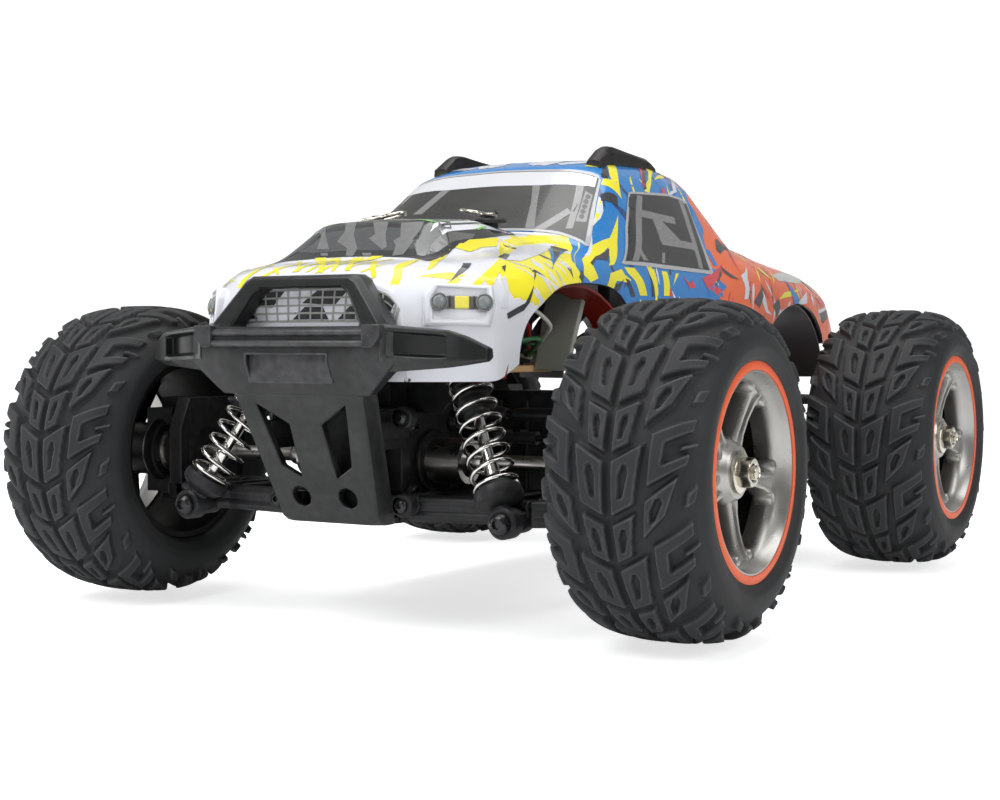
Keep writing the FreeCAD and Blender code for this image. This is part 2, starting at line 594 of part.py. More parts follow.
def make_gear(name, teeth, x, phase):
    """A straight gear turning about Y, with running backlash."""
    module = DIM["gear_module"]
    radius = module * teeth / 2.0
    pitch = 2 * math.pi / teeth
    pts = []
    for i in range(int(teeth)):
        for height, share in TOOTH:
            tip = radius + height * module
            angle = phase + i * pitch + share * pitch
            pts.append(FreeCAD.Vector(x + tip * math.cos(angle), GEAR_Y,
                                      AXLE_Z + tip * math.sin(angle)))
    face = Part.Face(Part.makePolygon(pts + [pts[0]]))
    return fixed(name, face.extrude(FreeCAD.Vector(0, DIM["gear_width"], 0)))


def make_centre_shaft():
    return fuse(
        "centre_shaft",
        cyl_y("shaft_bar", "shaft_radius", 0, FRONT_Y + 8, REAR_Y - 8, AXLE_Z),
        cone("shaft_bevel_front", 2.6, 3.9, 4.0, (0, FRONT_Y + 6.2, AXLE_Z), BACK),
        cone("shaft_bevel_rear", 3.9, 2.6, 4.0, (0, REAR_Y - 10.2, AXLE_Z), BACK),
        make_gear("spur_gear", DIM["spur_teeth"], 0, 0.0),
        cyl_y("spur_hub", 5.0, 0, GEAR_Y - 2, GEAR_Y + 7.5, AXLE_Z))


def make_pinion():
    # half a pitch of phase puts a tooth gap opposite the spur gear's tooth
    phase = math.pi + math.pi / DIM["pinion_teeth"]
    return fuse("motor_pinion",
                make_gear("pinion_gear", DIM["pinion_teeth"], SHAFT_CENTRES, phase),
                cyl_y("pinion_shaft", 1.6, SHAFT_CENTRES, GEAR_Y, GEAR_Y + 14, AXLE_Z))


made.extend([make_centre_shaft(), make_pinion(),
             turned("front_diff", DIFF_PROFILE, (0, FRONT_Y, AXLE_Z)),
             turned("rear_diff", DIFF_PROFILE, (0, REAR_Y, AXLE_Z))])

# ---- chassis plate and upper deck ------------------------------------------
# half outlines, (x, y)
PLATE_HALF = [(12, -127.2), (17, -122), (17, -80), (44, -63), (46, -50), (46, 36), (17, 62),
              (17, 104), (12, 109.3)]
DECK_HALF = [(24, -99), (30, -92), (30, -58), (16, -44), (16, 34), (30, 46), (30, 74), (24, 81)]


def make_chassis():
    plate = prism("plate_blank", "XY_Plane", both_sides(PLATE_HALF), "plate_thickness",
                  (0, 0, DIM["plate_bottom"]))
    rails = [box("plate_rail_" + letter, (side * 43.2, side * 45.6), (-48, 34), (30, 37))
             for side, letter in reversed(SIDES)]
    return fuse("chassis_plate", plate, *rails)


def make_deck():
    blank = prism("deck_blank", "XY_Plane", both_sides(DECK_HALF), "deck_thickness",
                  (0, 0, DIM["deck_bottom"]))
    posts = []
    for k, (x, y, top, _) in enumerate(BODY_POSTS):
        base = (x, y, POST_BASE_Z)
        posts.append(cyl("body_post_%d" % k, 2.4, top - POST_BASE_Z, base))
        posts.append(cyl("body_post_foot_%d" % k, 4.2, 4.0, base))
    return fuse("upper_deck", blank, *posts)


made.extend([make_chassis(), make_deck()])


# ---- motor, battery, servo and receiver ------------------------------------
def make_motor():
    x = SHAFT_CENTRES
    front = GEAR_Y + 9
    back = front + DIM["motor_length"]
    return cut("drive_motor", fuse(
        "motor_blank",
        cyl_y("motor_can", "motor_radius", x, front, back, AXLE_Z),
        cyl_y("motor_bell", 5.0, x, back, back + 3, AXLE_Z),
        box("motor_foot", (x - 8, x + 12), (front + 1, front + 31), (FLOOR_Z, 34)),
        box("motor_plate", (x - 16.4, x + 14), (front - 1.2, front + 0.8), (FLOOR_Z, 60))),
        cyl_y("motor_bore", 1.7, x, front - 2, front + 7, AXLE_Z))


def make_battery():
    return cut("battery_pack",
               box("battery_case", (-43, -14.2), (-36, 34), (PART_FLOOR_Z, 49)),
               box("battery_notch", (-33, -23), (32, 35), (44, 50)))


def make_servo():
    width = (SERVO_X - 11, SERVO_X + 11)
    blank = fuse(
        "servo_case_all",
        box("servo_case", width, (FRONT_Y + 35, FRONT_Y + 60), (PART_FLOOR_Z, 52)),
        box("servo_ear", width, (FRONT_Y + 40, FRONT_Y + 42.4), (PART_FLOOR_Z, 56)),
        cyl_y("servo_boss", 5.0, SERVO_X, FRONT_Y + 33.2, FRONT_Y + 36, SERVO_Z))
    return cut("steering_servo", blank,
               cyl_y("servo_bore", 2.1, SERVO_X, FRONT_Y + 33, FRONT_Y + 38.5, SERVO_Z))


def make_control_unit():
    fin_pitch, fin_width, first_fin_y = 4.4, 1.6, -54
    case = box("control_case", (8, 40), (-56, -18), (PART_FLOOR_Z, 42))
    fins = []
    for i in range(8):
        y = first_fin_y + fin_pitch * i
        fins.append(box("control_fin_%d" % i, (10, 38), (y, y + fin_width), (41, 47)))
    return fuse("control_unit", case, *fins)


made.extend([make_motor(), make_battery(),
             group("servo_and_receiver", make_servo(), make_control_unit())])

# ---- front bumper ----------------------------------------------------------
SHIELD_HALF = [(18.1, 28.5), (23.9, 64.8), (33, 72), (33, 82.6)]    # front view, (x, z)
# side view, (y from the front axle, z); the first two points are the raked lower face
SHIELD_SIDE = [(-27.6, 28.5), (-43.2, 64.8), (-47.6, 73), (-47.6, 80), (-46.6, 82.6),
               (-42.2, 82.6), (-42.8, 72), (-40, 66), (-24.6, 28.5)]
SLOT = [(14.9, 61.8), (5.4, 56.2), (5.9, 41.4), (11.7, 44.8)]       # left side, (x, z)
HOOP_HALF = [(14.7, 93), (21, 82), (28.7, 82), (17.5, 96.2)]        # (x, z)
# wing sections: x, then (y from the front axle, z)
WING = [
    (26.0, [(-47.4, 82.5), (-47.4, 73.0), (-43.8, 68.6), (-40.5, 70.0), (-40.5, 82.5)]),
    (40.0, [(-43.6, 81.0), (-44.2, 73.0), (-40.6, 70.4), (-37.4, 71.2), (-37.4, 80.5)]),
    (55.5, [(-36.4, 77.0), (-37.0, 74.0), (-35.4, 72.4), (-33.2, 72.8), (-32.6, 76.4)])]


def make_wing(side, letter):
    sections = []
    for x, pts in WING:
        loop = [FreeCAD.Vector(side * x, y, z) for y, z in from_front(pts)]
        sections.append(Part.makePolygon(loop + [loop[0]]))
    return fixed("bumper_wing_" + letter, Part.makeLoft(sections, True, True))


def make_bumper():
    """Raked shield with wings, hoop, foot and two stays."""
    shield = new("Part::Common", "bumper_shield")
    shield.Base = prism("bumper_outline", "XZ_Plane", both_sides(SHIELD_HALF), 70.0,
                        (0, FRONT_Y - 10, 0))
    shield.Tool = prism("bumper_profile", "YZ_Plane", from_front(SHIELD_SIDE), 80.0,
                        (-40, 0, 0))
    holes = [prism("bumper_slot_" + letter, "XZ_Plane", [(side * x, z) for x, z in SLOT], 40.0,
                   (0, FRONT_Y - 15, 0)) for side, letter in SIDES]
    holes.append(box("bumper_recess", (-14, 13.5), (FRONT_Y - 50, FRONT_Y - 46.2), (68.2, 77)))
    # the tow holes run square to the raked lower face
    (low_y, low_z), (high_y, high_z) = SHIELD_SIDE[:2]
    lean = math.atan2(low_y - high_y, high_z - low_z)
    normal = FreeCAD.Vector(0.0, -math.cos(lean), -math.sin(lean))
    tow_length = 16.0
    for side, letter in SIDES:
        centre = FreeCAD.Vector(side * 7.8, FRONT_Y - 30.75, 35.9)
        holes.append(cyl("tow_hole_" + letter, "tow_hole_radius", tow_length,
                         centre - normal * (tow_length / 2), normal))
    extras = [make_wing(side, letter) for side, letter in SIDES]
    extras.append(prism("bull_bar", "XZ_Plane", both_sides(HOOP_HALF), 5.7,
                        (0, FRONT_Y - 39.5, 0)))
    extras.append(box("bumper_foot", (-4.2, 4.2), (FRONT_Y - 29, FRONT_Y - 24.6),
                      (FLOOR_Z, 34.5)))
    for side, letter in SIDES:
        extras.append(box("bumper_stay_" + letter, (side * 13.8, side * 17.6),
                          (FRONT_Y - 37.4, FRONT_Y - 15.0), (52, 57)))
    return fuse("front_bumper", cut("bumper_cut", shield, *holes), *extras)


made.append(make_bumper())

# ---- body shell: thin lofted skin with hood scoop and wheel arches ---------
# stations: y from the front axle, then the half section (x, z) from the centre
# line down to the lower edge
SECTIONS = [
    (-36.0, [(0, 95.0), (22, 94.8), (25, 94.6), (31, 93.0), (37, 89.0), (40.0, 82.0), (41.0, 68.0)]),
    (-30.0, [(0, 99.3), (23, 99.0), (26, 98.8), (38, 97.0), (46, 92.5), (50.5, 86.0), (51.5, 68.0)]),
    (-20.0, [(0, 101.2), (24, 101.0), (27, 100.8), (40, 99.0), (48.5, 95.0), (53.2, 88.0), (54.5, 68.0)]),
    (-4.0, [(0, 113.6), (22, 112.6), (27, 103.2), (41, 101.2), (48.5, 97.5), (53.0, 91.0), (54.0, 78.0)]),
    (16.0, [(0, 115.0), (23, 114.0), (27.5, 106.2), (41, 103.6), (48.5, 100.0), (52.4, 94.0), (52.6, 84.0)]),
    (32.0, [(0, 112.4), (24, 111.4), (28, 108.2), (41, 105.4), (48.0, 101.8), (51.6, 96.0), (51.8, 84.0)]),
    (38.0, [(0, 111.2), (24, 110.8), (34, 109.8), (43, 106.6), (48.2, 102.8), (51.2, 97.0), (51.4, 84.0)]),
    (70.0, [(0, 134.8), (24, 134.0), (33, 132.2), (38.6, 126.6), (49.0, 103.0), (51.0, 97.0), (51.4, 82.0)]),
    (80.0, [(0, 137.6), (24, 137.0), (31.5, 135.4), (37.4, 130.0), (48.8, 103.0), (51.0, 97.0), (51.4, 80.0)]),
    (110.0, [(0, 139.4), (24, 138.8), (31, 137.0), (36.8, 131.4), (48.6, 103.2), (51.0, 97.0), (51.4, 80.0)]),
    (133.0, [(0, 137.6), (24, 137.0), (30, 135.2), (36.0, 129.6), (48.6, 103.4), (51.0, 97.0), (51.4, 80.0)]),
    (152.0, [(0, 116.6), (24, 116.2), (34, 115.0), (43.0, 111.4), (48.6, 104.4), (50.8, 97.0), (51.2, 80.0)]),
    (185.0, [(0, 111.6), (24, 111.2), (34, 110.2), (43.0, 107.2), (48.4, 101.6), (50.4, 95.0), (50.8, 80.0)]),
    (220.0, [(0, 108.2), (24, 107.8), (34, 106.8), (42.4, 104.2), (47.6, 99.0), (49.6, 92.0), (50.0, 79.0)]),
    (243.0, [(0, 105.0), (24, 104.6), (33, 103.6), (40.6, 101.0), (45.8, 95.6), (48.0, 88.0), (48.4, 78.0)]),
    (253.6, [(0, 96.8), (24, 96.4), (32, 95.6), (38.6, 93.4), (43.4, 89.4), (45.4, 84.0), (45.8, 78.0)]),
]
# wheel arches and roof fin, (y from the front axle, z)
FRONT_ARCH = [(-18, 60), (-16.5, 68), (-12, 79), (-5, 87), (4, 92), (14, 94.6), (28, 95.4),
              (42, 94.6), (51, 91), (58, 84), (62, 76), (62, 60)]
REAR_ARCH = [(165, 60), (168, 79), (176, 86), (188, 91), (203, 93), (217, 91), (228, 85),
             (233, 78), (234, 60)]
FIN = [(75, 130.0), (75, 137.4), (82, 141.3), (86, 142.1), (111, 141.0), (116.5, 137.8),
       (116.5, 130.0)]


def section_ring(y, half, inset, drop):
    """Closed section wire, every corner moved inwards and the lower edge dropped."""
    pts = []
    for i, (x, z) in enumerate(half):
        normal_x, normal_z = 0.0, 0.0
        for start, end in zip(half[max(i - 1, 0):i + 1], half[i:i + 2] if i == 0
                              else half[i:i + 2]) if False else edges_at(half, i):
            dx, dz = end[0] - start[0], end[1] - start[1]
            length = math.hypot(dx, dz)
            normal_x += dz / length
            normal_z -= dx / length
        length = math.hypot(normal_x, normal_z)
        normal_x, normal_z = normal_x / length, normal_z / length
        if i == 0:
            # the centre line point moves straight down
            normal_x, normal_z = 0.0, -1.0
        pts.append((x + normal_x * inset, z + normal_z * inset))
    pts[-1] = (pts[-1][0], pts[-1][1] - drop)
    loop = [FreeCAD.Vector(x, FRONT_Y + y, z) for x, z in both_sides(pts)]
    return Part.makePolygon(loop + [loop[0]])


def edges_at(half, i):
    """The one or two edges of an open outline that meet at point i."""
    near = half[max(i - 1, 0):i + 2]
    return list(zip(near, near[1:]))


def make_shell():
    """The shell, and its uncut outer form for trimming what stands on it."""
    wall = DIM["shell_wall"]
    outer = Part.makeLoft([section_ring(y, half, 0, 0) for y, half in SECTIONS], True, True)
    # the inner form stops a wall short of each end, where it is also inset more
    rings = [section_ring(y, half, wall, 6.0) for y, half in SECTIONS[1:-1]]
    (first_y, first), (last_y, last) = SECTIONS[0], SECTIONS[-1]
    rings.insert(0, section_ring(first_y + wall, first, wall * 1.25, 6.0))
    rings.append(section_ring(last_y - wall, last, wall * 1.25, 6.0))
    outside = fixed("shell_outside", outer)
    skin = fixed("shell_skin", outer.cut(Part.makeLoft(rings, True, True)))
    holes = [prism(name, "YZ_Plane", from_front(pts), 140.0, (-70, 0, 0))
             for name, pts in (("arch_front", FRONT_ARCH), ("arch_rear", REAR_ARCH))]
    for k, (x, y, _, _) in enumerate(BODY_POSTS):
        holes.append(cyl("shell_hole_%d" % k, 2.8, 60.0, (x, y, 85)))
    return cut("body_shell", skin, *holes), outside


def make_trim(outside):
    """Roof fins, their feet following the roof, and the body clip washers."""
    trim = []
    fin_width = 5.0
    for side, letter in SIDES:
        blank = prism("roof_fin_blank_" + letter, "YZ_Plane", from_front(FIN), fin_width,
                      (side * 28.5 - fin_width / 2, 0, 0))
        trim.append(cut("roof_fin_" + letter, blank, outside))
    for k, (x, y, _, clip_z) in enumerate(BODY_POSTS):
        trim.append(cut("clip_blank_%d" % k,
                        cyl("clip_washer_%d" % k, 5.0, 1.2, (x, y, clip_z)),
                        cyl("clip_bore_%d" % k, 2.5, 3.0, (x, y, clip_z - 1))))
    return group("body_trim", *trim)


shell, shell_outside = make_shell()
made.extend([shell, make_trim(shell_outside)])

# ---- check and export ------------------------------------------------------
doc.recompute()
for obj in doc.Objects:
    if "Invalid" in obj.State or "Error" in obj.State:
        raise RuntimeError("%s is %s" % (obj.Name, obj.State))
for piece in made:
    shape = piece.Shape
    if shape.isNull() or not shape.isValid() or not shape.Solids:
        raise RuntimeError("%s has a bad shape" % piece.Label)
    shape.exportStep("parts/%s.step" % piece.Label)
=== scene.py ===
"""Radio-controlled monster truck with a painted pickup body, on a white studio floor.

The truck stands on z = 0 with its front towards -Y and its left side towards +X. Meshes are
worked out in millimetres and stored in metres. Moving pieces ride the bodies of the CAD frame.
"""
import bpy
import bmesh
import math
import numpy as np
from mathutils import Vector, Matrix
from mathutils.geometry import delaunay_2d_cdt


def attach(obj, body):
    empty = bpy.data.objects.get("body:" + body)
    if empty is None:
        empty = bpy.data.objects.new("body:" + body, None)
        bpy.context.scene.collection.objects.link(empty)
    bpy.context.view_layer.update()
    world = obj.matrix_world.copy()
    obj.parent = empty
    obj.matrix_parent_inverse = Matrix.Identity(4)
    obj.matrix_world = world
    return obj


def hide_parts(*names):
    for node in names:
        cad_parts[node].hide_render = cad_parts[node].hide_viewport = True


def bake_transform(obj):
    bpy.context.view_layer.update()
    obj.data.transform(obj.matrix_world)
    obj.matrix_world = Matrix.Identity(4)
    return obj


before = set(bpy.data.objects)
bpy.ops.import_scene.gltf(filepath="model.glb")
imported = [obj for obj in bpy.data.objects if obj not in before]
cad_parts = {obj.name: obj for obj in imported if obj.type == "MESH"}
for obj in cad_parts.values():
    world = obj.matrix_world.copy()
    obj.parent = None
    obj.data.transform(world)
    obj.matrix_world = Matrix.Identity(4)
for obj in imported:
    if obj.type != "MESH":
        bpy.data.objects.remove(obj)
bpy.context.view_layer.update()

MM = 0.001
FRONT_Y, REAR_Y = -103.0, 84.6      # axle positions along the truck
AXLE_Z = 45.0
# corner: side (+1 left), direction from the axle to the truck's middle, axle y
CORNERS = {"fl": (1, 1, FRONT_Y), "fr": (-1, 1, FRONT_Y), "rl": (1, -1, REAR_Y), "rr": (-1, -1, REAR_Y)}
SIDES = ((1, "l"), (-1, "r"))
FULL_TURN = 2 * math.pi


# ------------------------------------------------------------------ materials
class Shader:
    """A material with a principled surface, textured in object coordinates."""

    def __init__(self, name):
        self.material = bpy.data.materials.new(name)
        self.material.use_nodes = True
        self.tree = self.material.node_tree
        self.surface = next(n for n in self.tree.nodes if n.type == "BSDF_PRINCIPLED").inputs
        self.coords = self.tree.nodes.new("ShaderNodeTexCoord").outputs["Object"]
        self.link = self.tree.links.new

    def put(self, socket, value):
        if isinstance(value, bpy.types.NodeSocket):
            self.link(value, socket)
        else:
            socket.default_value = value

    def noise(self, scale, detail):
        node = self.tree.nodes.new("ShaderNodeTexNoise")
        node.inputs["Scale"].default_value = scale
        node.inputs["Detail"].default_value = detail
        self.link(self.coords, node.inputs["Vector"])
        return node.outputs["Fac"]

    def multiply(self, first, second, clamp=False):
        node = self.tree.nodes.new("ShaderNodeMath")
        node.operation = "MULTIPLY"
        node.use_clamp = clamp
        self.put(node.inputs[0], first)
        self.put(node.inputs[1], second)
        return node.outputs[0]

    def mix(self, factor, first, second):
        node = self.tree.nodes.new("ShaderNodeMix")
        node.data_type = "RGBA"
        self.link(factor, node.inputs[0])
        for index, colour in ((6, first), (7, second)):
            self.put(node.inputs[index], (*colour, 1.0) if isinstance(colour, tuple) else colour)
        return node.outputs[2]

    def edges(self):
        """Near 1 on convex edges."""
        geometry = self.tree.nodes.new("ShaderNodeNewGeometry")
        node = self.tree.nodes.new("ShaderNodeMapRange")
        self.link(geometry.outputs["Pointiness"], node.inputs["Value"])
        node.inputs["From Min"].default_value = 0.51
        node.inputs["From Max"].default_value = 0.58
        return node.outputs["Result"]

    def roughness(self, scale, detail, low, high):
        node = self.tree.nodes.new("ShaderNodeMapRange")
        self.link(self.noise(scale, detail), node.inputs["Value"])
        node.inputs["To Min"].default_value = low
        node.inputs["To Max"].default_value = high
        self.link(node.outputs["Result"], self.surface["Roughness"])

    def bump(self, scale, strength, distance):
        height = self.noise(scale, detail=2.0)
        node = self.tree.nodes.new("ShaderNodeBump")
        node.inputs["Strength"].default_value = strength
        node.inputs["Distance"].default_value = distance
        self.link(height, node.inputs["Height"])
        self.link(node.outputs["Normal"], self.surface["Normal"])


def finish(name, colour, rough, metal, grain, grain_bump, spread, patch, rough_spread=0.12,
           wear=0.0, wear_colour=None, inputs=None):
    """Solid finish: patchy colour, optional pale worn edges, fine grain."""
    shader = Shader(name)
    dark = tuple(c * (1 - spread) for c in colour)
    light = tuple(min(1, c * (1 + spread)) for c in colour)
    base = shader.mix(shader.noise(patch, detail=4.0), dark, light)
    if wear > 0:
        edges = shader.edges()
        amount = shader.multiply(shader.noise(patch * 6, detail=3.0), wear * 2.0)
        base = shader.mix(shader.multiply(edges, amount, clamp=True), base, wear_colour)
    shader.link(base, shader.surface["Base Color"])
    shader.roughness(patch * 2.5, detail=3.0, low=max(0.02, rough - rough_spread),
                     high=min(1.0, rough + rough_spread))
    shader.surface["Metallic"].default_value = metal
    for socket, value in (inputs or {}).items():
        shader.surface[socket].default_value = value
    shader.bump(grain, strength=grain_bump, distance=0.00006)
    return shader.material


def paint(name, colour, second, rough=0.14, patch=54):
    """Printed polycarbonate: glossy pigment, faint waviness and dust."""
    shader = Shader(name)
    base = shader.mix(shader.noise(patch, detail=3.0), colour, second)
    dust = shader.multiply(shader.noise(700, detail=2.0), 0.06, clamp=True)
    shader.link(shader.mix(dust, base, (0.8, 0.8, 0.8)), shader.surface["Base Color"])
    shader.roughness(60, detail=4.0, low=max(0.02, rough - 0.06), high=rough + 0.1)
    shader.surface["Coat Weight"].default_value = 0.4
    shader.surface["Coat Roughness"].default_value = 0.05
    shader.bump(55, strength=0.12, distance=0.0003)
    return shader.material


# name, colour, roughness, metallic, grain scale, grain bump, colour spread, patch scale,
# roughness spread (0.12 if absent)
FINISHES = (
    ("rubber", (0.023, 0.0235, 0.025), 0.56, 0, 1500, 0.25, 0.22, 45, 0.1),
    ("rim_silver", (0.47, 0.46, 0.44), 0.30, 0.9, 1800, 0.35, 0.1, 90, 0.08),
    ("bead_orange", (0.80, 0.115, 0.028), 0.42, 0, 1200, 0.1, 0.08, 80),
    ("nickel", (0.70, 0.67, 0.58), 0.2, 1.0, 1200, 0.08, 0.1, 150, 0.08),
    ("spring_chrome", (0.80, 0.79, 0.76), 0.14, 1.0, 900, 0.03, 0.06, 200, 0.05),
    ("steel", (0.46, 0.45, 0.43), 0.3, 1.0, 1300, 0.12, 0.12, 120),
    ("black_nylon", (0.0055, 0.0056, 0.0062), 0.40, 0, 1400, 0.22, 0.25, 70),
    ("bumper_nylon", (0.0062, 0.0066, 0.0070), 0.33, 0, 1700, 0.28, 0.2, 55, 0.07),
    # rim barrel painted near black: painted shade inside the plated rim
    ("wheel_inner", (0.007, 0.0066, 0.0062), 0.5, 0, 1400, 0.2, 0.3, 60),
    ("screw_black", (0.05, 0.05, 0.052), 0.28, 0.8, 1200, 0.1, 0.2, 160),
    ("chassis_plate", (0.022, 0.017, 0.014), 0.34, 0.4, 1500, 0.15, 0.2, 50),
    ("deck_gold", (0.74, 0.47, 0.22), 0.42, 0.25, 1500, 0.15, 0.12, 60),
    ("deck_dark", (0.03, 0.03, 0.032), 0.4, 0.2, 1500, 0.15, 0.2, 60),
    ("roof_trim", (0.012, 0.0105, 0.0105), 0.42, 0, 1600, 0.3, 0.25, 70),
    # the shell's orange inner side, darkened as painted shade
    ("red_inner", (0.20, 0.012, 0.006), 0.35, 0, 1000, 0.1, 0.2, 60),
    ("grey_bracket", (0.33, 0.34, 0.30), 0.45, 0, 1200, 0.15, 0.1, 60),
    ("gear_nylon", (0.55, 0.54, 0.50), 0.45, 0, 1200, 0.12, 0.1, 80),
    ("pinion_brass", (0.62, 0.42, 0.16), 0.28, 1.0, 1200, 0.1, 0.1, 120),
    ("motor_can", (0.52, 0.52, 0.53), 0.26, 1.0, 1400, 0.12, 0.08, 90),
    ("battery_wrap", (0.03, 0.07, 0.30), 0.28, 0, 500, 0.12, 0.15, 40),
    ("electronics_case", (0.03, 0.03, 0.034), 0.42, 0, 1500, 0.2, 0.2, 70),
    ("window_frame_print", (0.44, 0.45, 0.46), 0.22, 0, 700, 0.03, 0.05, 60),
    ("sun_strip", (0.70, 0.71, 0.74), 0.2, 0, 700, 0.03, 0.04, 60),
    ("window_pane", (0.038, 0.037, 0.036), 0.3, 0, 700, 0.04, 0.15, 35),
    ("cage_print", (0.22, 0.22, 0.22), 0.24, 0, 700, 0.03, 0.12, 120),
    ("cage_holes", (0.02, 0.02, 0.021), 0.22, 0, 700, 0.03, 0.1, 60),
    ("scoop_mesh_ink", (0.20, 0.20, 0.20), 0.34, 0.2, 900, 0.05, 0.25, 420),
    ("grille_silver", (0.42, 0.42, 0.41), 0.3, 0.3, 900, 0.05, 0.1, 120),
    ("lens_clear", (0.46, 0.50, 0.50), 0.22, 0, 500, 0.02, 0.05, 100),
    ("led_yellow", (0.80, 0.72, 0.10), 0.3, 0, 500, 0.02, 0.08, 300),
    ("wire_green", (0.02, 0.16, 0.05), 0.35, 0, 600, 0.05, 0.1, 100),
    ("wire_red", (0.5, 0.02, 0.02), 0.35, 0, 600, 0.05, 0.1, 100),
    ("wire_white", (0.65, 0.66, 0.62), 0.35, 0, 600, 0.05, 0.08, 100),
    # inside of the shell and the rear arch sheet: dark colour that is painted shade
    ("shell_inside", (0.055, 0.045, 0.045), 0.4, 0, 900, 0.1, 0.2, 60),
)
# name: amount of edge wear, colour of the worn edge
WEAR = {
    "rubber": (0.5, (0.11, 0.11, 0.115)),
    "black_nylon": (0.35, (0.07, 0.07, 0.075)),
    "bumper_nylon": (0.45, (0.12, 0.12, 0.125)),
    "roof_trim": (0.4, (0.1, 0.09, 0.09)),
}
GLOSS_COAT = {"Coat Weight": 0.6, "Coat Roughness": 0.06}
# further surface inputs; the low specular keeps dark nylon and rubber dark under the lights
SURFACE_INPUTS = {
    "rubber": {"Specular IOR Level": 0.28},
    "black_nylon": {"Specular IOR Level": 0.28},
    "bumper_nylon": {"Specular IOR Level": 0.36},
    "wheel_inner": {"Specular IOR Level": 0.2},
    "chassis_plate": {"Specular IOR Level": 0.3},
    "roof_trim": {"Specular IOR Level": 0.3},
    "battery_wrap": {"Coat Weight": 0.4, "Coat Roughness": 0.06},
    "window_frame_print": GLOSS_COAT,
    "sun_strip": GLOSS_COAT,
    "window_pane": {"Coat Weight": 0.3, "Coat Roughness": 0.06},
    "cage_print": GLOSS_COAT,
    "cage_holes": GLOSS_COAT,
    "lens_clear": {"Transmission Weight": 0.55},
    "led_yellow": {"Emission Color": (0.9, 0.8, 0.1, 1), "Emission Strength": 0.15},
}
# name, colour, second colour, roughness (0.14 if absent), patch scale (54 if absent)
PAINTS = (
    ("shell_white", (0.84, 0.85, 0.90), (0.78, 0.80, 0.87)),
    ("paint_yellow", (0.95, 0.86, 0.006), (0.92, 0.80, 0.005)),
    ("paint_blue", (0.001, 0.225, 0.62), (0.001, 0.18, 0.54)),
    ("paint_orange", (0.95, 0.155, 0.010), (0.88, 0.095, 0.010), 0.14, 30),
    ("paint_red", (0.72, 0.04, 0.06), (0.6, 0.03, 0.05)),
    ("paint_black", (0.022, 0.024, 0.032), (0.03, 0.034, 0.045)),
    ("paint_white", (0.78, 0.79, 0.84), (0.7, 0.72, 0.78)),
    ("paint_pale", (0.62, 0.64, 0.60), (0.5, 0.55, 0.50)),
    ("paint_green", (0.20, 0.60, 0.09), (0.15, 0.5, 0.08)),
    ("scoop_black", (0.020, 0.021, 0.022), (0.03, 0.031, 0.032), 0.1),
    ("scoop_band", (0.085, 0.09, 0.095), (0.06, 0.065, 0.07), 0.12),
    ("scoop_grey", (0.16, 0.16, 0.155), (0.1, 0.1, 0.1), 0.12),
    ("paint_deep_orange", (0.72, 0.050, 0.006), (0.58, 0.03, 0.006)),
    ("paint_navy", (0.004, 0.055, 0.24), (0.003, 0.04, 0.17)),
)
MATERIALS = {}
for row in FINISHES:
    wear, wear_colour = WEAR.get(row[0], (0.0, None))
    MATERIALS[row[0]] = finish(*row, wear=wear, wear_colour=wear_colour,
                               inputs=SURFACE_INPUTS.get(row[0]))
for row in PAINTS:
    MATERIALS[row[0]] = paint(*row)


# ------------------------------------------------------------------ mesh tools
# A mesh is a pair (vertices, faces) in millimetres.
def merge(parts):
    verts, faces = [], []
    for part_verts, part_faces in parts:
        first = len(verts)
        verts.extend(tuple(v) for v in part_verts)
        faces.extend(tuple(i + first for i in face) for face in part_faces)
    return verts, faces


def mirror_x(mesh):
    return [(-x, y, z) for x, y, z in mesh[0]], [tuple(face[::-1]) for face in mesh[1]]


def move(mesh, offset):
    return [tuple(a + b for a, b in zip(v, offset)) for v in mesh[0]], mesh[1]


def piece(name, parts, material, body, slot, smooth=35, replaces=None, bevel=0,
          bevel_angle=30, mirror=False):
    """Make an object from meshes; edges sharper than `smooth` degrees stay hard."""
    verts, faces = merge(parts)
    if mirror:
        verts, faces = mirror_x((verts, faces))
    mesh = bpy.data.meshes.new(name)
    mesh.from_pydata([tuple(float(c) * MM for c in v) for v in verts], [],
                     [tuple(int(i) for i in face) for face in faces])
    mesh.update()
    made = bpy.data.objects.new(name, mesh)
    bpy.context.scene.collection.objects.link(made)
    mesh.materials.append(MATERIALS[material])
    edit = bmesh.new()
    edit.from_mesh(mesh)
    bmesh.ops.recalc_face_normals(edit, faces=edit.faces)
    edit.to_mesh(mesh)
    edit.free()
    mesh.polygons.foreach_set("use_smooth", [True] * len(mesh.polygons))
    mesh.set_sharp_from_angle(angle=math.radians(smooth))
    if body:
        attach(made, body)
    if replaces:
        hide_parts(replaces)
    if bevel:
        rounding = made.modifiers.new("bevel", "BEVEL")
        rounding.width = bevel * MM
        rounding.segments = 2
        rounding.limit_method = "ANGLE"
        rounding.angle_limit = math.radians(bevel_angle)
        rounding.use_clamp_overlap = True
    return made


def lathe(profile, segments, closed=True, axis="x", cap=False):
    """Turn (distance along axis, radius) pairs about X or Z."""
    count = len(profile)
    verts, faces = [], []
    for along, radius in profile:
        for i in range(segments):
            turn = FULL_TURN * i / segments
            a, b = radius * math.cos(turn), radius * math.sin(turn)
            verts.append((along, a, b) if axis == "x" else (a, b, along))
    for j in range(count if closed else count - 1):
        k = (j + 1) % count
        for i in range(segments):
            i2 = (i + 1) % segments
            faces.append((j * segments + i, j * segments + i2, k * segments + i2, k * segments + i))
    if cap:
        faces.append(tuple(range(segments))[::-1])
        faces.append(tuple((count - 1) * segments + i for i in range(segments)))
    return verts, faces


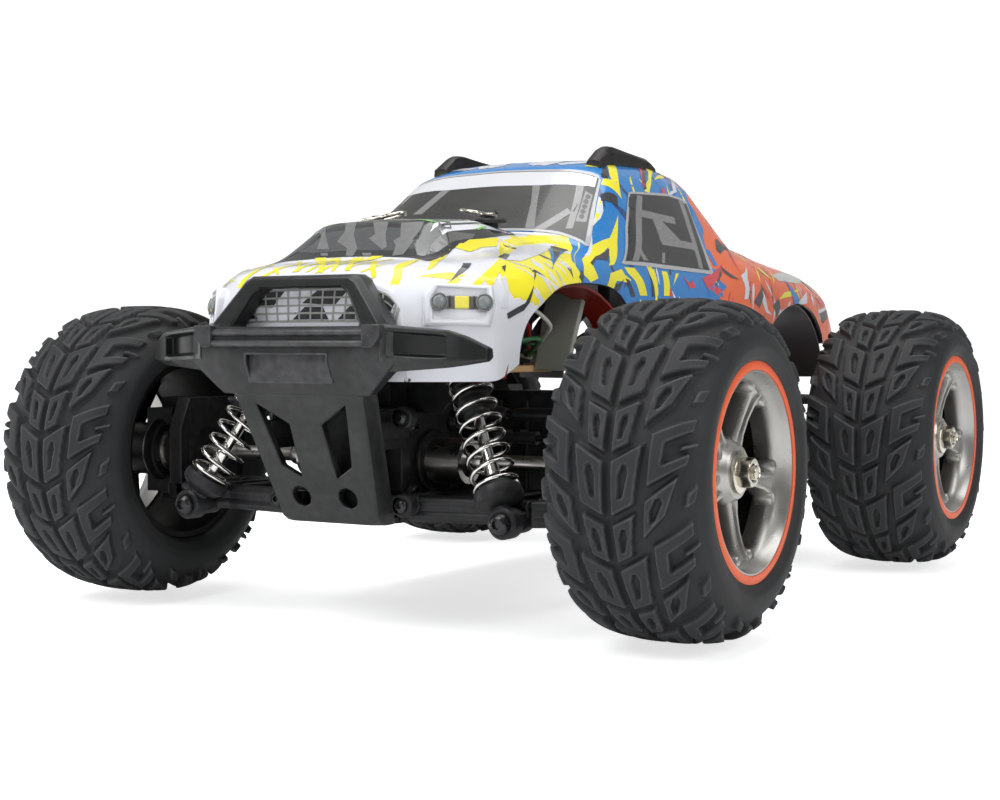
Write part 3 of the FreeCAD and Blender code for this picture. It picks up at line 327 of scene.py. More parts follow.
def loft(rings, cap=True):
    """Skin closed rings of equal length."""
    count, size = len(rings), len(rings[0])
    verts = [point for ring in rings for point in ring]
    faces = []
    for j in range(count - 1):
        for i in range(size):
            i2 = (i + 1) % size
            faces.append((j * size + i, j * size + i2, (j + 1) * size + i2, (j + 1) * size + i))
    if cap:
        faces.append(tuple(range(size))[::-1])
        faces.append(tuple((count - 1) * size + i for i in range(size)))
    return verts, faces


def circle(segments):
    return [FULL_TURN * i / segments for i in range(segments)]


def tube(path, radius, segments):
    points = [Vector(p) for p in path]
    rings = []
    up = None
    for i, point in enumerate(points):
        ahead = (points[min(i + 1, len(points) - 1)] - points[max(i - 1, 0)]).normalized()
        if up is None:
            up = ahead.orthogonal().normalized()
        up = (up - ahead * up.dot(ahead)).normalized()
        across = ahead.cross(up)
        rings.append([tuple(point + (up * math.cos(t) + across * math.sin(t)) * radius)
                      for t in circle(segments)])
    return loft(rings)


def frame_of(axis):
    """Rotation that takes +Z to the axis."""
    z = Vector(axis).normalized()
    x = z.orthogonal().normalized()
    y = z.cross(x)
    return Matrix(((x.x, y.x, z.x), (x.y, y.y, z.y), (x.z, y.z, z.z)))


def stand(mesh, base, axis):
    turn = frame_of(axis)
    base = Vector(base)
    return [tuple(turn @ Vector(v) + base) for v in mesh[0]], mesh[1]


def turned(profile, segments, base, axis):
    """Capped solid turned about any line; profile is (distance from base, radius)."""
    return stand(lathe(profile, segments, False, "z", True), base, axis)


def both_ways(half):
    """Symmetric profile from its half, listed from the far end inwards."""
    return [(-along, radius) for along, radius in half] + half[::-1]


def screw_head(base, axis, radius, height, socket):
    """Button head with a hexagon socket; the axis points out of the head."""
    segments = 28
    profile = [(0, radius * 0.98), (0.25, radius), (height * 0.55, radius * 0.9),
               (height * 0.9, radius * 0.62), (height, radius * 0.5)]
    verts, faces = lathe(profile, segments, False, "z")
    top = (len(profile) - 1) * segments
    first = len(verts)
    for z in (height, height - 0.9):
        for t in circle(segments):
            r = socket / math.cos((t % (math.pi / 3)) - math.pi / 6)
            verts.append((r * math.cos(t), r * math.sin(t), z))
    for i in range(segments):
        i2 = (i + 1) % segments
        faces.append((top + i, top + i2, first + i2, first + i))
        faces.append((first + i, first + i2, first + segments + i2, first + segments + i))
    faces.append(tuple(first + segments + i for i in range(segments)))
    faces.append(tuple(range(segments))[::-1])
    return stand((verts, faces), base, axis)


def catmull(points, per):
    """Smooth open curve through the points, `per` steps between each pair."""
    points = [np.array(p, float) for p in points]
    padded = [2 * points[0] - points[1]] + points + [2 * points[-1] - points[-2]]
    out = []
    for p0, p1, p2, p3 in zip(padded, padded[1:], padded[2:], padded[3:]):
        for k in range(per):
            t = k / per
            out.append(0.5 * ((2 * p1) + (-p0 + p2) * t + (2 * p0 - 5 * p1 + 4 * p2 - p3) * t * t
                              + (-p0 + 3 * p1 - 3 * p2 + p3) * t ** 3))
    out.append(points[-1])
    return np.array(out)


def brick(x, y, z):
    """Rectangular block between limits."""
    verts = [(a, b, c) for a in sorted(x) for b in sorted(y) for c in z]
    return verts, [(0, 1, 3, 2), (4, 6, 7, 5), (0, 4, 5, 1), (2, 3, 7, 6), (0, 2, 6, 4), (1, 5, 7, 3)]


def rect(x, y, z):
    """Ring of four corners at one y."""
    return [(x[0], y, z[0]), (x[1], y, z[0]), (x[1], y, z[1]), (x[0], y, z[1])]


def walls(count):
    return [(i, (i + 1) % count, (i + 1) % count + count, i + count) for i in range(count)]


def prism(shape, y):
    """Solid from an outline in (x, z) between two y limits."""
    count = len(shape)
    ends = [tuple(range(count)), tuple(range(count, 2 * count))[::-1]]
    return [(a, b, c) for b in sorted(y) for a, c in shape], ends + walls(count)


def sheet(shape, z):
    """Flat plate from an outline in (x, y) between two z limits."""
    count = len(shape)
    ends = [tuple(range(count))[::-1], tuple(range(count, 2 * count))]
    return [(a, b, c) for c in z for a, b in shape], ends + walls(count)


def signed_distance(points, shape):
    """Distance from each point to an outline, positive inside."""
    shape = np.array(shape, float)
    dist = np.full(len(points), 1e9)
    inside = np.zeros(len(points), bool)
    for a, b in zip(shape, np.roll(shape, -1, axis=0)):
        edge = b - a
        rel = points - a
        t = np.clip((rel @ edge) / (edge @ edge), 0, 1)
        dist = np.minimum(dist, np.linalg.norm(rel - t[:, None] * edge, axis=1))
        crosses = (a[1] > points[:, 1]) != (b[1] > points[:, 1])
        with np.errstate(divide="ignore", invalid="ignore"):
            x_cross = a[0] + (points[:, 1] - a[1]) / (b[1] - a[1]) * (b[0] - a[0])
        inside ^= crosses & (points[:, 0] < x_cross)
    return np.where(inside, dist, -dist)


def open_edges(faces):
    """Directed edges that only one face uses, given all faces wind the same way."""
    seen = {(a, b): 1 for face in faces for a, b in zip(face, face[1:] + face[:1])}
    return [(a, b) for a, b in seen if (b, a) not in seen]


def outline(text):
    """Points from text: 'a,b a,b ...'"""
    return [tuple(float(c) for c in point.split(",")) for point in text.split()]


def outlines(text):
    """Several outlines, parted by semicolons."""
    return [outline(part) for part in text.split(";")]


# ------------------------------------------------------------------ tyre
TREAD_REPEATS = 10
TREAD_RADIUS = 45.0
TREAD_PITCH = FULL_TURN * TREAD_RADIUS / TREAD_REPEATS
PITCH_STEPS = 72
TREAD_SHIFT = 19                    # steps that set where the pattern starts round the tyre
GROOVE_DEPTH = 2.0
TYRE_X = 93.1                       # centre plane of the left tyres
BEAD_RADIUS = 27.55
# half section from the middle of the tread to the bead: (x, radius)
TYRE_SECTION = [(0, 45.0), (6, 44.85), (12, 44.15), (16, 43.0), (19, 41.1), (20.9, 38.6),
                (21.8, 36), (22, 34), (21.8, 31.6), (21.0, 29.4), (19.4, 27.7)]
# raised lugs: (distance from the centre line over the section, distance round the tyre)
LUGS = outlines("""0.9,-1.4 7.3,2 9.3,17.4 0.9,12.6; 0.9,14.4 5.6,16.8 7.2,28.2 0.9,25;
8.5,-7.4 15.2,-0.6 19,10 9.7,3.2;
10.2,6.2 20.8,12.3 21.6,16 14.3,12.4 14.8,17.4 21.8,21.4 22.3,25.8 10.9,19.8;
19.6,0.4 23,2.2 24.4,7.6 20.6,5; 18.4,15.6 23.4,17.6 23.8,19.2 18.6,17.2""")
# small slots sunk in the first three lugs
LUG_SLOTS = outlines("""3,3.2 4.3,3.8 5.6,9.4 5.4,11.6 4.3,11.8 3.1,8.8;
2.6,17.8 3.6,18.1 4.7,22 4.5,24 3.4,24 2.6,21.8;
11,-2.6 12.2,-1.9 14.2,2.4 13.9,4 12.6,3.5 11.1,0.4""")
# raised rings on the sidewall: place over the section, width, height
SIDEWALL_RINGS = ((29.6, 0.5, 0.25), (32.4, 0.6, 0.3))


def tread_height(across):
    """Height over the section for one pitch of the pattern."""
    across, around = np.meshgrid(across, np.arange(PITCH_STEPS) * TREAD_PITCH / PITCH_STEPS,
                                 indexing="ij")
    points = np.stack([across.ravel(), around.ravel()], 1)

    def coverage(shape, shift, margin, ramp):
        dist = signed_distance(points, [(a, b + shift) for a, b in shape])
        t = np.clip((dist + margin) / ramp, 0, 1)
        return t * t * (3 - 2 * t)
    floor = GROOVE_DEPTH * (np.clip((across - 19) / 8.5, 0, 1) ** 1.3 - 1).ravel()
    height = floor
    shifts = (-TREAD_PITCH, 0, TREAD_PITCH)
    for lug in LUGS:
        for shift in shifts:
            height = np.maximum(height, floor * (1 - coverage(lug, shift, margin=0.12, ramp=0.6)))
    for slot in LUG_SLOTS:
        for shift in shifts:
            height = height - 1.5 * coverage(slot, shift, margin=0.15, ramp=0.5) * (height > -1.9)
    height = height.reshape(across.shape)
    height = np.where(across < 0.75, -2.4, height)      # groove along the centre line
    for place, width, rise in SIDEWALL_RINGS:
        height = height + rise * np.exp(-((across - place) / width) ** 2)
    return height


def tyre_mesh():
    half = catmull(TYRE_SECTION, 12)
    length = np.concatenate([[0], np.cumsum(np.linalg.norm(np.diff(half, axis=0), axis=1))])
    # fine steps over the tread and shoulder, coarse ones down to the bead
    across = np.concatenate([np.arange(0, 26.5, 0.37), np.linspace(26.9, length[-1], 9)])
    height = tread_height(across)
    height = np.concatenate([height[:0:-1], height], 0)
    across = np.concatenate([-across[:0:-1], across])
    x = np.interp(np.abs(across), length, half[:, 0]) * np.sign(across)
    radius = np.interp(np.abs(across), length, half[:, 1])
    dx, dr = np.gradient(x, across), np.gradient(radius, across)
    norm = np.hypot(dx, dr)
    height = np.roll(np.tile(height, (1, TREAD_REPEATS)), -TREAD_SHIFT, axis=1)
    all_x = x[:, None] + (-dr / norm)[:, None] * height
    all_r = radius[:, None] + (dx / norm)[:, None] * height
    # turned from -Y towards +Z
    steps = PITCH_STEPS * TREAD_REPEATS
    turn = np.arange(steps) / steps * 2 * math.pi
    rows = [np.stack([all_x, -all_r * np.cos(turn), all_r * np.sin(turn)], -1)]
    for bead_x in (17.4, 0.0, -17.4):                   # inner wall closes the section
        rows.append(np.stack([np.full(steps, bead_x), -BEAD_RADIUS * np.cos(turn),
                              BEAD_RADIUS * np.sin(turn)], -1)[None])
    verts = np.concatenate(rows, 0)
    index = np.arange(verts.shape[0] * steps).reshape(-1, steps)
    next_turn, next_row = np.roll(index, -1, 1), np.roll(index, -1, 0)
    faces = np.stack([index, next_row, np.roll(next_row, -1, 1), next_turn], -1).reshape(-1, 4)
    mesh = bpy.data.meshes.new("tyre")
    coords = (verts.reshape(-1, 3) * MM).astype(np.float32)
    mesh.vertices.add(len(coords))
    mesh.vertices.foreach_set("co", coords.ravel())
    mesh.loops.add(len(faces) * 4)
    mesh.loops.foreach_set("vertex_index", faces.ravel().astype(np.int32))
    mesh.polygons.add(len(faces))
    mesh.polygons.foreach_set("loop_start", (np.arange(len(faces)) * 4).astype(np.int32))
    mesh.polygons.foreach_set("use_smooth", np.ones(len(faces), bool))
    mesh.update(calc_edges=True)
    mesh.validate()
    mesh.materials.append(MATERIALS["rubber"])
    return mesh


# ------------------------------------------------------------------ wheel
# Built for the left side about the X axis: x from the centre plane of the truck.
SPOKE_ANGLES = [math.radians(29) + k * 2 * math.pi / 5 for k in range(5)]
RIM_LIP = [(113.3, 25.75), (113.7, 25.9), (113.7, 26.3), (113.2, 26.45), (112.2, 27.4),
           (106, 27.45), (104.0, 27.3), (103.6, 26.6), (103.6, 24.1), (107.6, 23.6),
           (109.2, 23.75), (110.4, 24.4), (111.4, 25.0), (112.4, 25.4)]
WHEEL_HUB = [(102.6, 2.05), (102.6, 8.6), (104.6, 9.2), (106.2, 8.9), (107.0, 8.2), (108.4, 7.3),
             (108.9, 6.9), (109.0, 6.2), (109.0, 2.05)]
# radius, half width, x of the front, depth of the groove down the middle
SPOKE_STATIONS = ((6.5, 4.0, 107.2, 0.3), (8.6, 3.2, 107.3, 0.9), (11.5, 2.5, 107.4, 1.5),
                  (16, 2.3, 107.9, 1.7), (20, 2.6, 108.7, 1.6), (22.2, 3.6, 109.3, 1.2),
                  (23.6, 5.2, 109.7, 0.7), (24.9, 6.6, 109.9, 0.3))
BARREL = [(74.6, 25.6), (74.6, 27.3), (75.6, 27.45), (80, 27.2), (84, 26.7), (98, 26.7),
          (104, 27.1), (103.7, 24.8), (98, 24.6), (88, 24.9), (78, 25.2)]
BARREL_HUB = [(97.8, 6.9), (97.8, 9.2), (102.4, 9.4), (102.4, 6.9)]
BEAD_RING = [(112.05, 27.0), (112.0, 28.7), (112.5, 28.95), (113.5, 28.85), (113.95, 28.3),
             (114.0, 27.2), (113.95, 26.5), (113.6, 26.35), (113.0, 26.5)]
NUT_FLANGE = [(109.05, 2.1), (109.05, 5.55), (109.3, 5.7), (109.8, 5.6), (110.1, 5.0),
              (110.25, 4.0), (110.25, 2.1)]
NUT_RADIUS = 4.06                   # over the corners
STUB = [(73.0, 4.7), (73.0, 6.3), (73.3, 6.5), (74.6, 6.5), (75.0, 6.2), (82.6, 6.2),
        (83.6, 5.4), (83.8, 2.5), (98.0, 2.5), (98.0, 0.02), (82.2, 0.02), (81.8, 4.5)]


def spoke_point(angle, x, radius, side):
    """Point on a spoke whose angle is measured from +Z towards +Y."""
    sin, cos = math.sin(angle), math.cos(angle)
    return x, radius * sin + side * cos, radius * cos - side * sin


def wheel_face():
    parts = [lathe(RIM_LIP, 128), lathe(WHEEL_HUB, 72)]
    for angle in SPOKE_ANGLES:
        rings = []
        for radius, width, front, groove in SPOKE_STATIONS:
            # share of the half width, x from the front
            half = [(1, -5.2), (0.98, -1.0), (0.86, -0.12), (0.66, 0.0), (0.42, -0.05),
                    (0.34, -groove)]
            section = [(-share, dx) for share, dx in half] + half[::-1]
            rings.append([spoke_point(angle, front + dx, radius, width * share)
                          for share, dx in section])
        parts.append(loft(rings))
        # two small bosses where the spoke meets the rim
        for sign in (-1, 1):
            base = spoke_point(angle + sign * 0.185, 108.6, 23.4, 0)
            parts.append(turned([(-3.4, 1.9), (0.6, 1.9), (1.2, 1.55), (1.45, 0.9)], 16,
                                base, (1, 0, 0)))
    return merge(parts)


# the barrel takes a near-black finish that is painted shade inside the plated rim
def wheel_barrel():
    parts = [lathe(BARREL, 96)]
    for angle in SPOKE_ANGLES:                          # ribs behind the spokes
        parts.append(loft([[spoke_point(angle, x, radius, side) for side, x in
                            ((-width, 98.6), (width, 98.6), (width, 102.6), (-width, 102.6))]
                           for radius, width in ((8.0, 2.6), (16, 2.2), (24.7, 3.0))]))
    return merge(parts + [lathe(BARREL_HUB, 64)])


def wheel_nut():
    phase = 0.2
    turns = [t + phase for t in circle(36)]

    def hexagon(turn):
        return NUT_RADIUS * math.cos(math.pi / 6) / math.cos(
            ((turn - phase) % (math.pi / 3)) - math.pi / 6)

    def ring(x, radii):
        return [(x, r * math.cos(t), r * math.sin(t)) for r, t in zip(radii, turns)]
    rings = [ring(110.1, [2.0] * 36)]
    for x, share in ((110.1, 1.0), (112.6, 1.0), (113.1, 0.93), (113.25, 0.86)):
        rings.append(ring(x, [min(hexagon(t), NUT_RADIUS * share) for t in turns]))
    rings += [ring(113.25, [2.7] * 36), ring(112.9, [2.3] * 36)]
    thread = [(98.0, 0.02), (98.0, 2.0)]
    for x in np.arange(108.8, 113.9, 0.5):
        thread += [(x, 1.72), (x + 0.18, 1.95), (x + 0.3, 1.95), (x + 0.46, 1.72)]
    thread += [(114.0, 1.5), (114.05, 0.02)]
    return merge([lathe(NUT_FLANGE, 48), loft(rings, cap=False), lathe(thread, 28, False)])


def stub_axle():
    hexagon = [[(x, r * math.cos(math.pi / 3 * i), r * math.sin(math.pi / 3 * i))
                for i in range(6)]
               for x, r in ((98.0, 6.7), (98.3, 6.9), (102.1, 6.9), (102.4, 6.7))]
    return merge([lathe(STUB, 48), loft(hexagon)])


def build_wheels():
    tyre = tyre_mesh()
    # name, mesh, material, smooth angle, slot, CAD piece replaced
    pieces = (("wheel_face_", wheel_face(), "rim_silver", 32, "rim", "rim_"),
              ("wheel_barrel_", wheel_barrel(), "wheel_inner", 35, "rim", None),
              ("bead_ring_", lathe(BEAD_RING, 128), "bead_orange", 40, "rim", None),
              ("wheel_nut_", wheel_nut(), "nickel", 28, "steel", "axle_"),
              ("stub_axle_", stub_axle(), "steel", 35, "steel", None))
    for corner, (side, _, axle_y) in CORNERS.items():
        body = "wheel_" + corner
        tread = bpy.data.objects.new("tread_tyre_" + corner, tyre)
        bpy.context.scene.collection.objects.link(tread)
        tread.location = (side * TYRE_X * MM, axle_y * MM, AXLE_Z * MM)
        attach(tread, body)
        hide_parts("tyre_" + corner)
        for name, mesh, material, smooth, slot, replaced in pieces:
            piece(name + corner, [move(mesh, (0, axle_y, AXLE_Z))], material, body, slot, smooth,
                  replaces=replaced and replaced + corner, mirror=side < 0)


build_wheels()

# ------------------------------------------------------------------ body skin
# y from the front axle: half section (x, z) from the centre line to the lower edge
SECTIONS = {
    -36: "0,95 18,94.8 21,94.6 25,93 28.6,89 30,82 31,68",
    -30: "0,99.3 20,99 23,98.8 31,97 36.6,92.5 39.4,86 40.4,68",
    -20: "0,101.2 23,101 26,100.8 37.5,99 44.4,95 47.8,88 49,68",
    -4: "0,113.6 22,112.6 27,103.2 41,101.2 48.5,97.5 53,91 54,78",
    16: "0,115 23,114 27.5,106.2 41,103.6 48.5,100 52.4,94 52.6,84",
    32: "0,112.4 24,111.4 28,108.2 41,105.4 48,101.8 51.6,96 51.8,84",
    38: "0,111.2 24,110.8 34,109.8 43,106.6 48.2,102.8 51.2,97 51.4,84",
    70: "0,134.8 24,134 33,132.2 38.6,126.6 49,103 51,97 51.4,82",
    80: "0,137.6 24,137 31.5,135.4 37.4,130 48.8,103 51,97 51.4,80",
    110: "0,139.4 24,138.8 31,137 36.8,131.4 48.6,103.2 51,97 51.4,80",
    133: "0,137.6 24,137 30,135.2 36,129.6 48.6,103.4 51,97 51.4,80",
    152: "0,116.6 24,116.2 34,115 43,111.4 48.6,104.4 50.8,97 51.2,80",
    185: "0,111.6 24,111.2 34,110.2 43,107.2 48.4,101.6 50.4,95 50.8,80",
    220: "0,108.2 24,107.8 34,106.8 42.4,104.2 47.6,99 49.6,92 50,79",
    243: "0,105 24,104.6 33,103.6 40.6,101 45.8,95.6 48,88 48.4,78",
    253.6: "0,96.8 24,96.4 32,95.6 38.6,93.4 43.4,89.4 45.4,84 45.8,78",
}
SPAN_STEPS = (12, 4, 9, 8, 8, 12)       # grid columns between the points of a half section
NOSE_Y, TAIL_Y = -36.0, 253.6
NOSE_Z, TAIL_Z = 68.0, 78.0             # lower edges of the end faces
NOSE_ROWS, TAIL_ROWS = 30, 24
ROW_STEP = 0.8
# wheel openings: (y from the front axle, z)
ARCHES = [catmull(shape, 6) for shape in outlines("""
-15,52 -14.2,60 -13.4,68 -11.4,79 -6.5,86.6 4,92 14,94.6 28,95.4 42,94.6 51,91 58,84 62,76
64,60 64,52;
163,52 165,60 168,79 176,86 188,91 203,93 217,91 228,85 233,78 235,60 235,52""")]
# body posts: x, y, z of the washer, z of the top
POSTS = ((20, -78, 113.4, 117.2), (-20, -78, 113.4, 117.2),
         (18, 72, 113.2, 116.2), (-18, 72, 113.2, 116.2))
POST_HOLE = 2.9
SKIN_THICKNESS = 0.95


def gauss(grid, sigma, axis):
    """Smooth along one axis, ends held."""
    reach = int(3 * sigma + 1)
    kernel = np.exp(-0.5 * (np.arange(-reach, reach + 1) / sigma) ** 2)
    kernel /= kernel.sum()
    grid = np.moveaxis(grid, axis, 0)
    first, last = grid[0].copy(), grid[-1].copy()
    padded = np.concatenate([2 * first - grid[1:reach + 1][::-1], grid,
                             2 * last - grid[-reach - 1:-1][::-1]])
    out = sum(kernel[i] * padded[i:i + len(grid)] for i in range(2 * reach + 1))
    out[0], out[-1] = first, last
    return np.moveaxis(out, 0, axis)


def skin_surface():
    """Grid of points and outward normals: rows nose to tail, columns right to left."""
    samples = []
    for text in SECTIONS.values():
        points = np.array(outline(text))
        row = [points[i] + (points[i + 1] - points[i]) * k / count
               for i, count in enumerate(SPAN_STEPS) for k in range(count)]
        samples.append(np.array(row + [points[-1]]))
    samples = np.array(samples)
    size = samples.shape[1]
    row_y = np.arange(NOSE_Y, TAIL_Y + 0.01, ROW_STEP)
    row_y[-1] = TAIL_Y
    half = np.empty((len(row_y), size, 2))
    for j in range(size):
        for c in range(2):
            half[:, j, c] = np.interp(row_y, list(SECTIONS), samples[:, j, c])

    def row_at(x, y, z):
        return np.stack([x, np.full(size, y) if np.isscalar(y) else y, z], -1)
    rows = []
    x, z = half[0].T
    for k in range(NOSE_ROWS):                          # nose face, bottom up
        t = k / NOSE_ROWS
        bow = 0.8 * np.sin(math.pi * t) * np.clip(1 - (x / 44) ** 2, 0, 1)
        rows.append(row_at(x, np.full(size, NOSE_Y) - bow, NOSE_Z + (z - NOSE_Z) * t))
    for y, section in zip(row_y, half):
        rows.append(row_at(section[:, 0], y, section[:, 1]))
    x, z = half[-1].T
    for k in range(1, TAIL_ROWS + 1):                   # tail face, top down
        rows.append(row_at(x, TAIL_Y, z + (TAIL_Z - z) * k / TAIL_ROWS))
    grid = np.array(rows)
    grid = np.concatenate([grid[:, :0:-1] * np.array([-1, 1, 1]), grid], 1)
    grid = gauss(grid, sigma=1.5, axis=1)
    grid = gauss(grid, sigma=1.7, axis=0)
    grid = gauss(grid, sigma=0.9, axis=1)
    normals = np.cross(np.gradient(grid, axis=1), np.gradient(grid, axis=0))
    size = np.linalg.norm(normals, axis=-1, keepdims=True)
    normals = normals / np.maximum(size, 1e-9)
    # degenerate corners of the end faces take the nearest good normal
    rows, columns = grid.shape[:2]
    for r in range(rows):
        for walk in (range(columns // 2, columns), range(columns // 2, -1, -1)):
            for a, b in zip(walk[:-1], walk[1:]):
                if size[r, b, 0] < 1e-4:
                    normals[r, b] = normals[r, a]
    return grid + np.array([0, FRONT_Y, 0]), normals


GRID, NORMALS = skin_surface()
ROWS, COLUMNS = GRID.shape[:2]
MID = COLUMNS // 2


def arch_keep(points):
    """Positive where the skin stays."""
    flat = np.stack([points[:, 1] - FRONT_Y, points[:, 2]], 1)
    return -np.maximum(*(signed_distance(flat, arch) for arch in ARCHES))


def clip(verts, faces, keep, normals=None):
    """Keep the part of each face where keep >= 0, cutting across edges."""
    tables = [[tuple(v) for v in table] for table in (verts, normals) if table is not None]
    cuts, out = {}, []

    def cut(i, j):
        key = (min(i, j), max(i, j))
        if key not in cuts:
            t = keep[i] / (keep[i] - keep[j])
            for table in tables:
                a, b = np.array(table[i]), np.array(table[j])
                table.append(tuple(a + (b - a) * t))
            cuts[key] = len(tables[0]) - 1
        return cuts[key]
    for face in faces:
        kept = [keep[i] >= 0 for i in face]
        if all(kept):
            out.append(tuple(face))
        elif any(kept):
            trimmed = []
            for n, i in enumerate(face):
                j = face[(n + 1) % len(face)]
                if keep[i] >= 0:
                    trimmed.append(i)
                if (keep[i] >= 0) != (keep[j] >= 0):
                    trimmed.append(cut(i, j))
            if len(trimmed) > 2:
                out.append(tuple(trimmed))
    used = sorted({i for face in out for i in face})
    renumber = {i: k for k, i in enumerate(used)}
    tables = [[table[i] for i in used] for table in tables]
    return tables, [tuple(renumber[i] for i in face) for face in out]


def thicken(verts, faces, normals, thickness):
    count = len(verts)
    inner = [tuple(np.array(v) - np.array(n) * thickness) for v, n in zip(verts, normals)]
    solid = list(faces) + [tuple(i + count for i in face[::-1]) for face in faces]
    solid += [(b, a, a + count, b + count) for a, b in open_edges(faces)]
    return verts + inner, solid


# Paint outlines are in the skin's grid: (row, column). Row 30 is the top edge of the nose,
# rows are 0.8 mm apart; column 53 is the centre line and column 106 the left lower edge.
EDGE_1 = outline("126,72.9 121.4,66.8 108.4,67.9 97.1,68.8 72.7,76.8 60.5,83.6 57.5,88.5 59,92 "
                 "66,94.5 73,98.5")
EDGE_2 = outline("130.6,78.2 126,76.5 121.6,79 112.5,82.9 106.2,86.7 105.9,90 103.2,93.1")
EDGE_3 = outline("235.9,73.1 237.8,75.6 240.1,75.7 236.1,78.8 238,79.6 234.1,80.8 231.9,82.3 "
                 "234.9,82.5 232,84 224,85.2 230.7,87.1 238.4,86.9 231.5,90.1 239.4,93.4 "
                 "231.1,95.4")
LAST_ROW = ROWS - 1.01
FIELDS = {
    "yellow": EDGE_1 + [(74, 106), (103, 106)] + EDGE_2[::-1],
    "blue": ([(123.0, MID), (124.5, 66.0), EDGE_1[0]] + EDGE_2 + [(103, 106), (231, 106)]
             + EDGE_3[::-1] + [(238, 62), (236, MID)]),
    "orange": ([(236, MID), (238, 62)] + EDGE_3
               + [(231, 106), (LAST_ROW, 106), (LAST_ROW, MID)]),
}


def build_skin():
    index = np.arange(ROWS * COLUMNS).reshape(ROWS, COLUMNS)
    quads = np.stack([index[:-1, :-1].ravel(), index[:-1, 1:].ravel(),
                      index[1:, 1:].ravel(), index[1:, :-1].ravel()], 1)
    points = GRID.reshape(-1, 3)
    keep = arch_keep(points)
    for x, y, _, _ in POSTS:
        hole = np.hypot(points[:, 0] - x, points[:, 1] - y) - POST_HOLE
        keep = np.where(points[:, 2] > 100, np.minimum(keep, hole), keep)
    (verts, normals), outside = clip(points, [tuple(q) for q in quads.tolist()], keep,
                                     NORMALS.reshape(-1, 3))
    verts, faces = thicken(verts, outside, normals, SKIN_THICKNESS)
    skin = piece("body_skin", [(verts, faces)], "shell_white", "root", "shell", smooth=50,
                 replaces="body_shell")
    # each outer face takes the colour of its field; the inside is painted dark as painted shade
    for name in ("paint_yellow", "paint_blue", "paint_orange", "shell_inside"):
        skin.data.materials.append(MATERIALS[name])
    centres = np.array([np.mean([verts[i] for i in face], 0) for face in outside])
    row = NOSE_ROWS + (centres[:, 1] - FRONT_Y - NOSE_Y) / ROW_STEP
    nearest = np.clip(np.round(row).astype(int), 0, ROWS - 1)
    column = np.array([np.argmin((GRID[r, :, 0] - p[0]) ** 2 + (GRID[r, :, 2] - p[2]) ** 2)
                       for r, p in zip(nearest, centres)])
    place = np.stack([row, MID + np.abs(column - MID)], 1).astype(float)
    slots = np.full(len(skin.data.polygons), 4, dtype=np.int32)
    slots[:len(outside)] = 0
    for k, field in enumerate(FIELDS.values(), 1):
        slots[:len(outside)][(signed_distance(place, field) > 0) & (row > NOSE_ROWS + 1)] = k
    skin.data.polygons.foreach_set("material_index", slots)


build_skin()


# ------------------------------------------------------------------ printed decals
def skin_at(row, column, lift):
    """Point on the skin, raised along its normal."""
    row = min(max(row, 0), ROWS - 1.001)
    column = min(max(column, 0), COLUMNS - 1.001)
    i, j = int(row), int(column)
    a, b = row - i, column - j

    def blend(table):
        return ((1 - a) * (1 - b) * table[i, j] + a * (1 - b) * table[i + 1, j]
                + (1 - a) * b * table[i, j + 1] + a * b * table[i + 1, j + 1])
    normal = blend(NORMALS)
    return blend(GRID) + normal / max(np.linalg.norm(normal), 1e-9) * lift


def fill(shape, step):
    """Triangles filling a flat outline, with points inside so it can follow a curved skin."""
    points = []
    for i in range(len(shape)):
        a, b = np.array(shape[i], float), np.array(shape[(i + 1) % len(shape)], float)
        count = max(1, int(np.linalg.norm(b - a) / step))
        points += [a + (b - a) * t / count for t in range(count)]
    ring = list(range(len(points)))
    low, high = np.min(points, 0), np.max(points, 0)
    inner = [(r, c) for r in np.arange(low[0] + step / 2, high[0], step)
             for c in np.arange(low[1] + step / 2, high[1], step)]
    if inner:
        inner = np.array(inner)
        points += list(inner[signed_distance(inner, points) > step * 0.35])
    flat = [Vector((float(p[0]), float(p[1]))) for p in points]
    result = delaunay_2d_cdt(flat, [], [ring], 1, 1e-6)
    return [(v.x, v.y) for v in result[0]], [tuple(face) for face in result[2]]


def decal(name, shapes, material, lift, mirror=True, step=1.8, slot="trim"):
    """Thin print that follows the skin, cut off at the wheel openings."""
    verts, faces = [], []
    for shape in shapes:
        try:
            points, triangles = fill(shape, step)
        except Exception:
            # guards the triangulation of an outline it cannot fill
            continue
        for sign in ((1, -1) if mirror else (1,)):
            first = len(verts)
            verts += [tuple(skin_at(r, MID + (c - MID) * sign, lift)) for r, c in points]
            faces += [tuple(i + first for i in face[::sign]) for face in triangles]
    (verts,), faces = clip(verts, faces, arch_keep(np.array(verts)) - 0.05)
    piece(name, [(verts, faces)], material, "root", slot, smooth=60)


for colour, lift in (("yellow", 0.05), ("blue", 0.055), ("orange", 0.06)):
    decal("field_" + colour, [FIELDS[colour]], "paint_" + colour, lift, step=1.6, slot="shell")

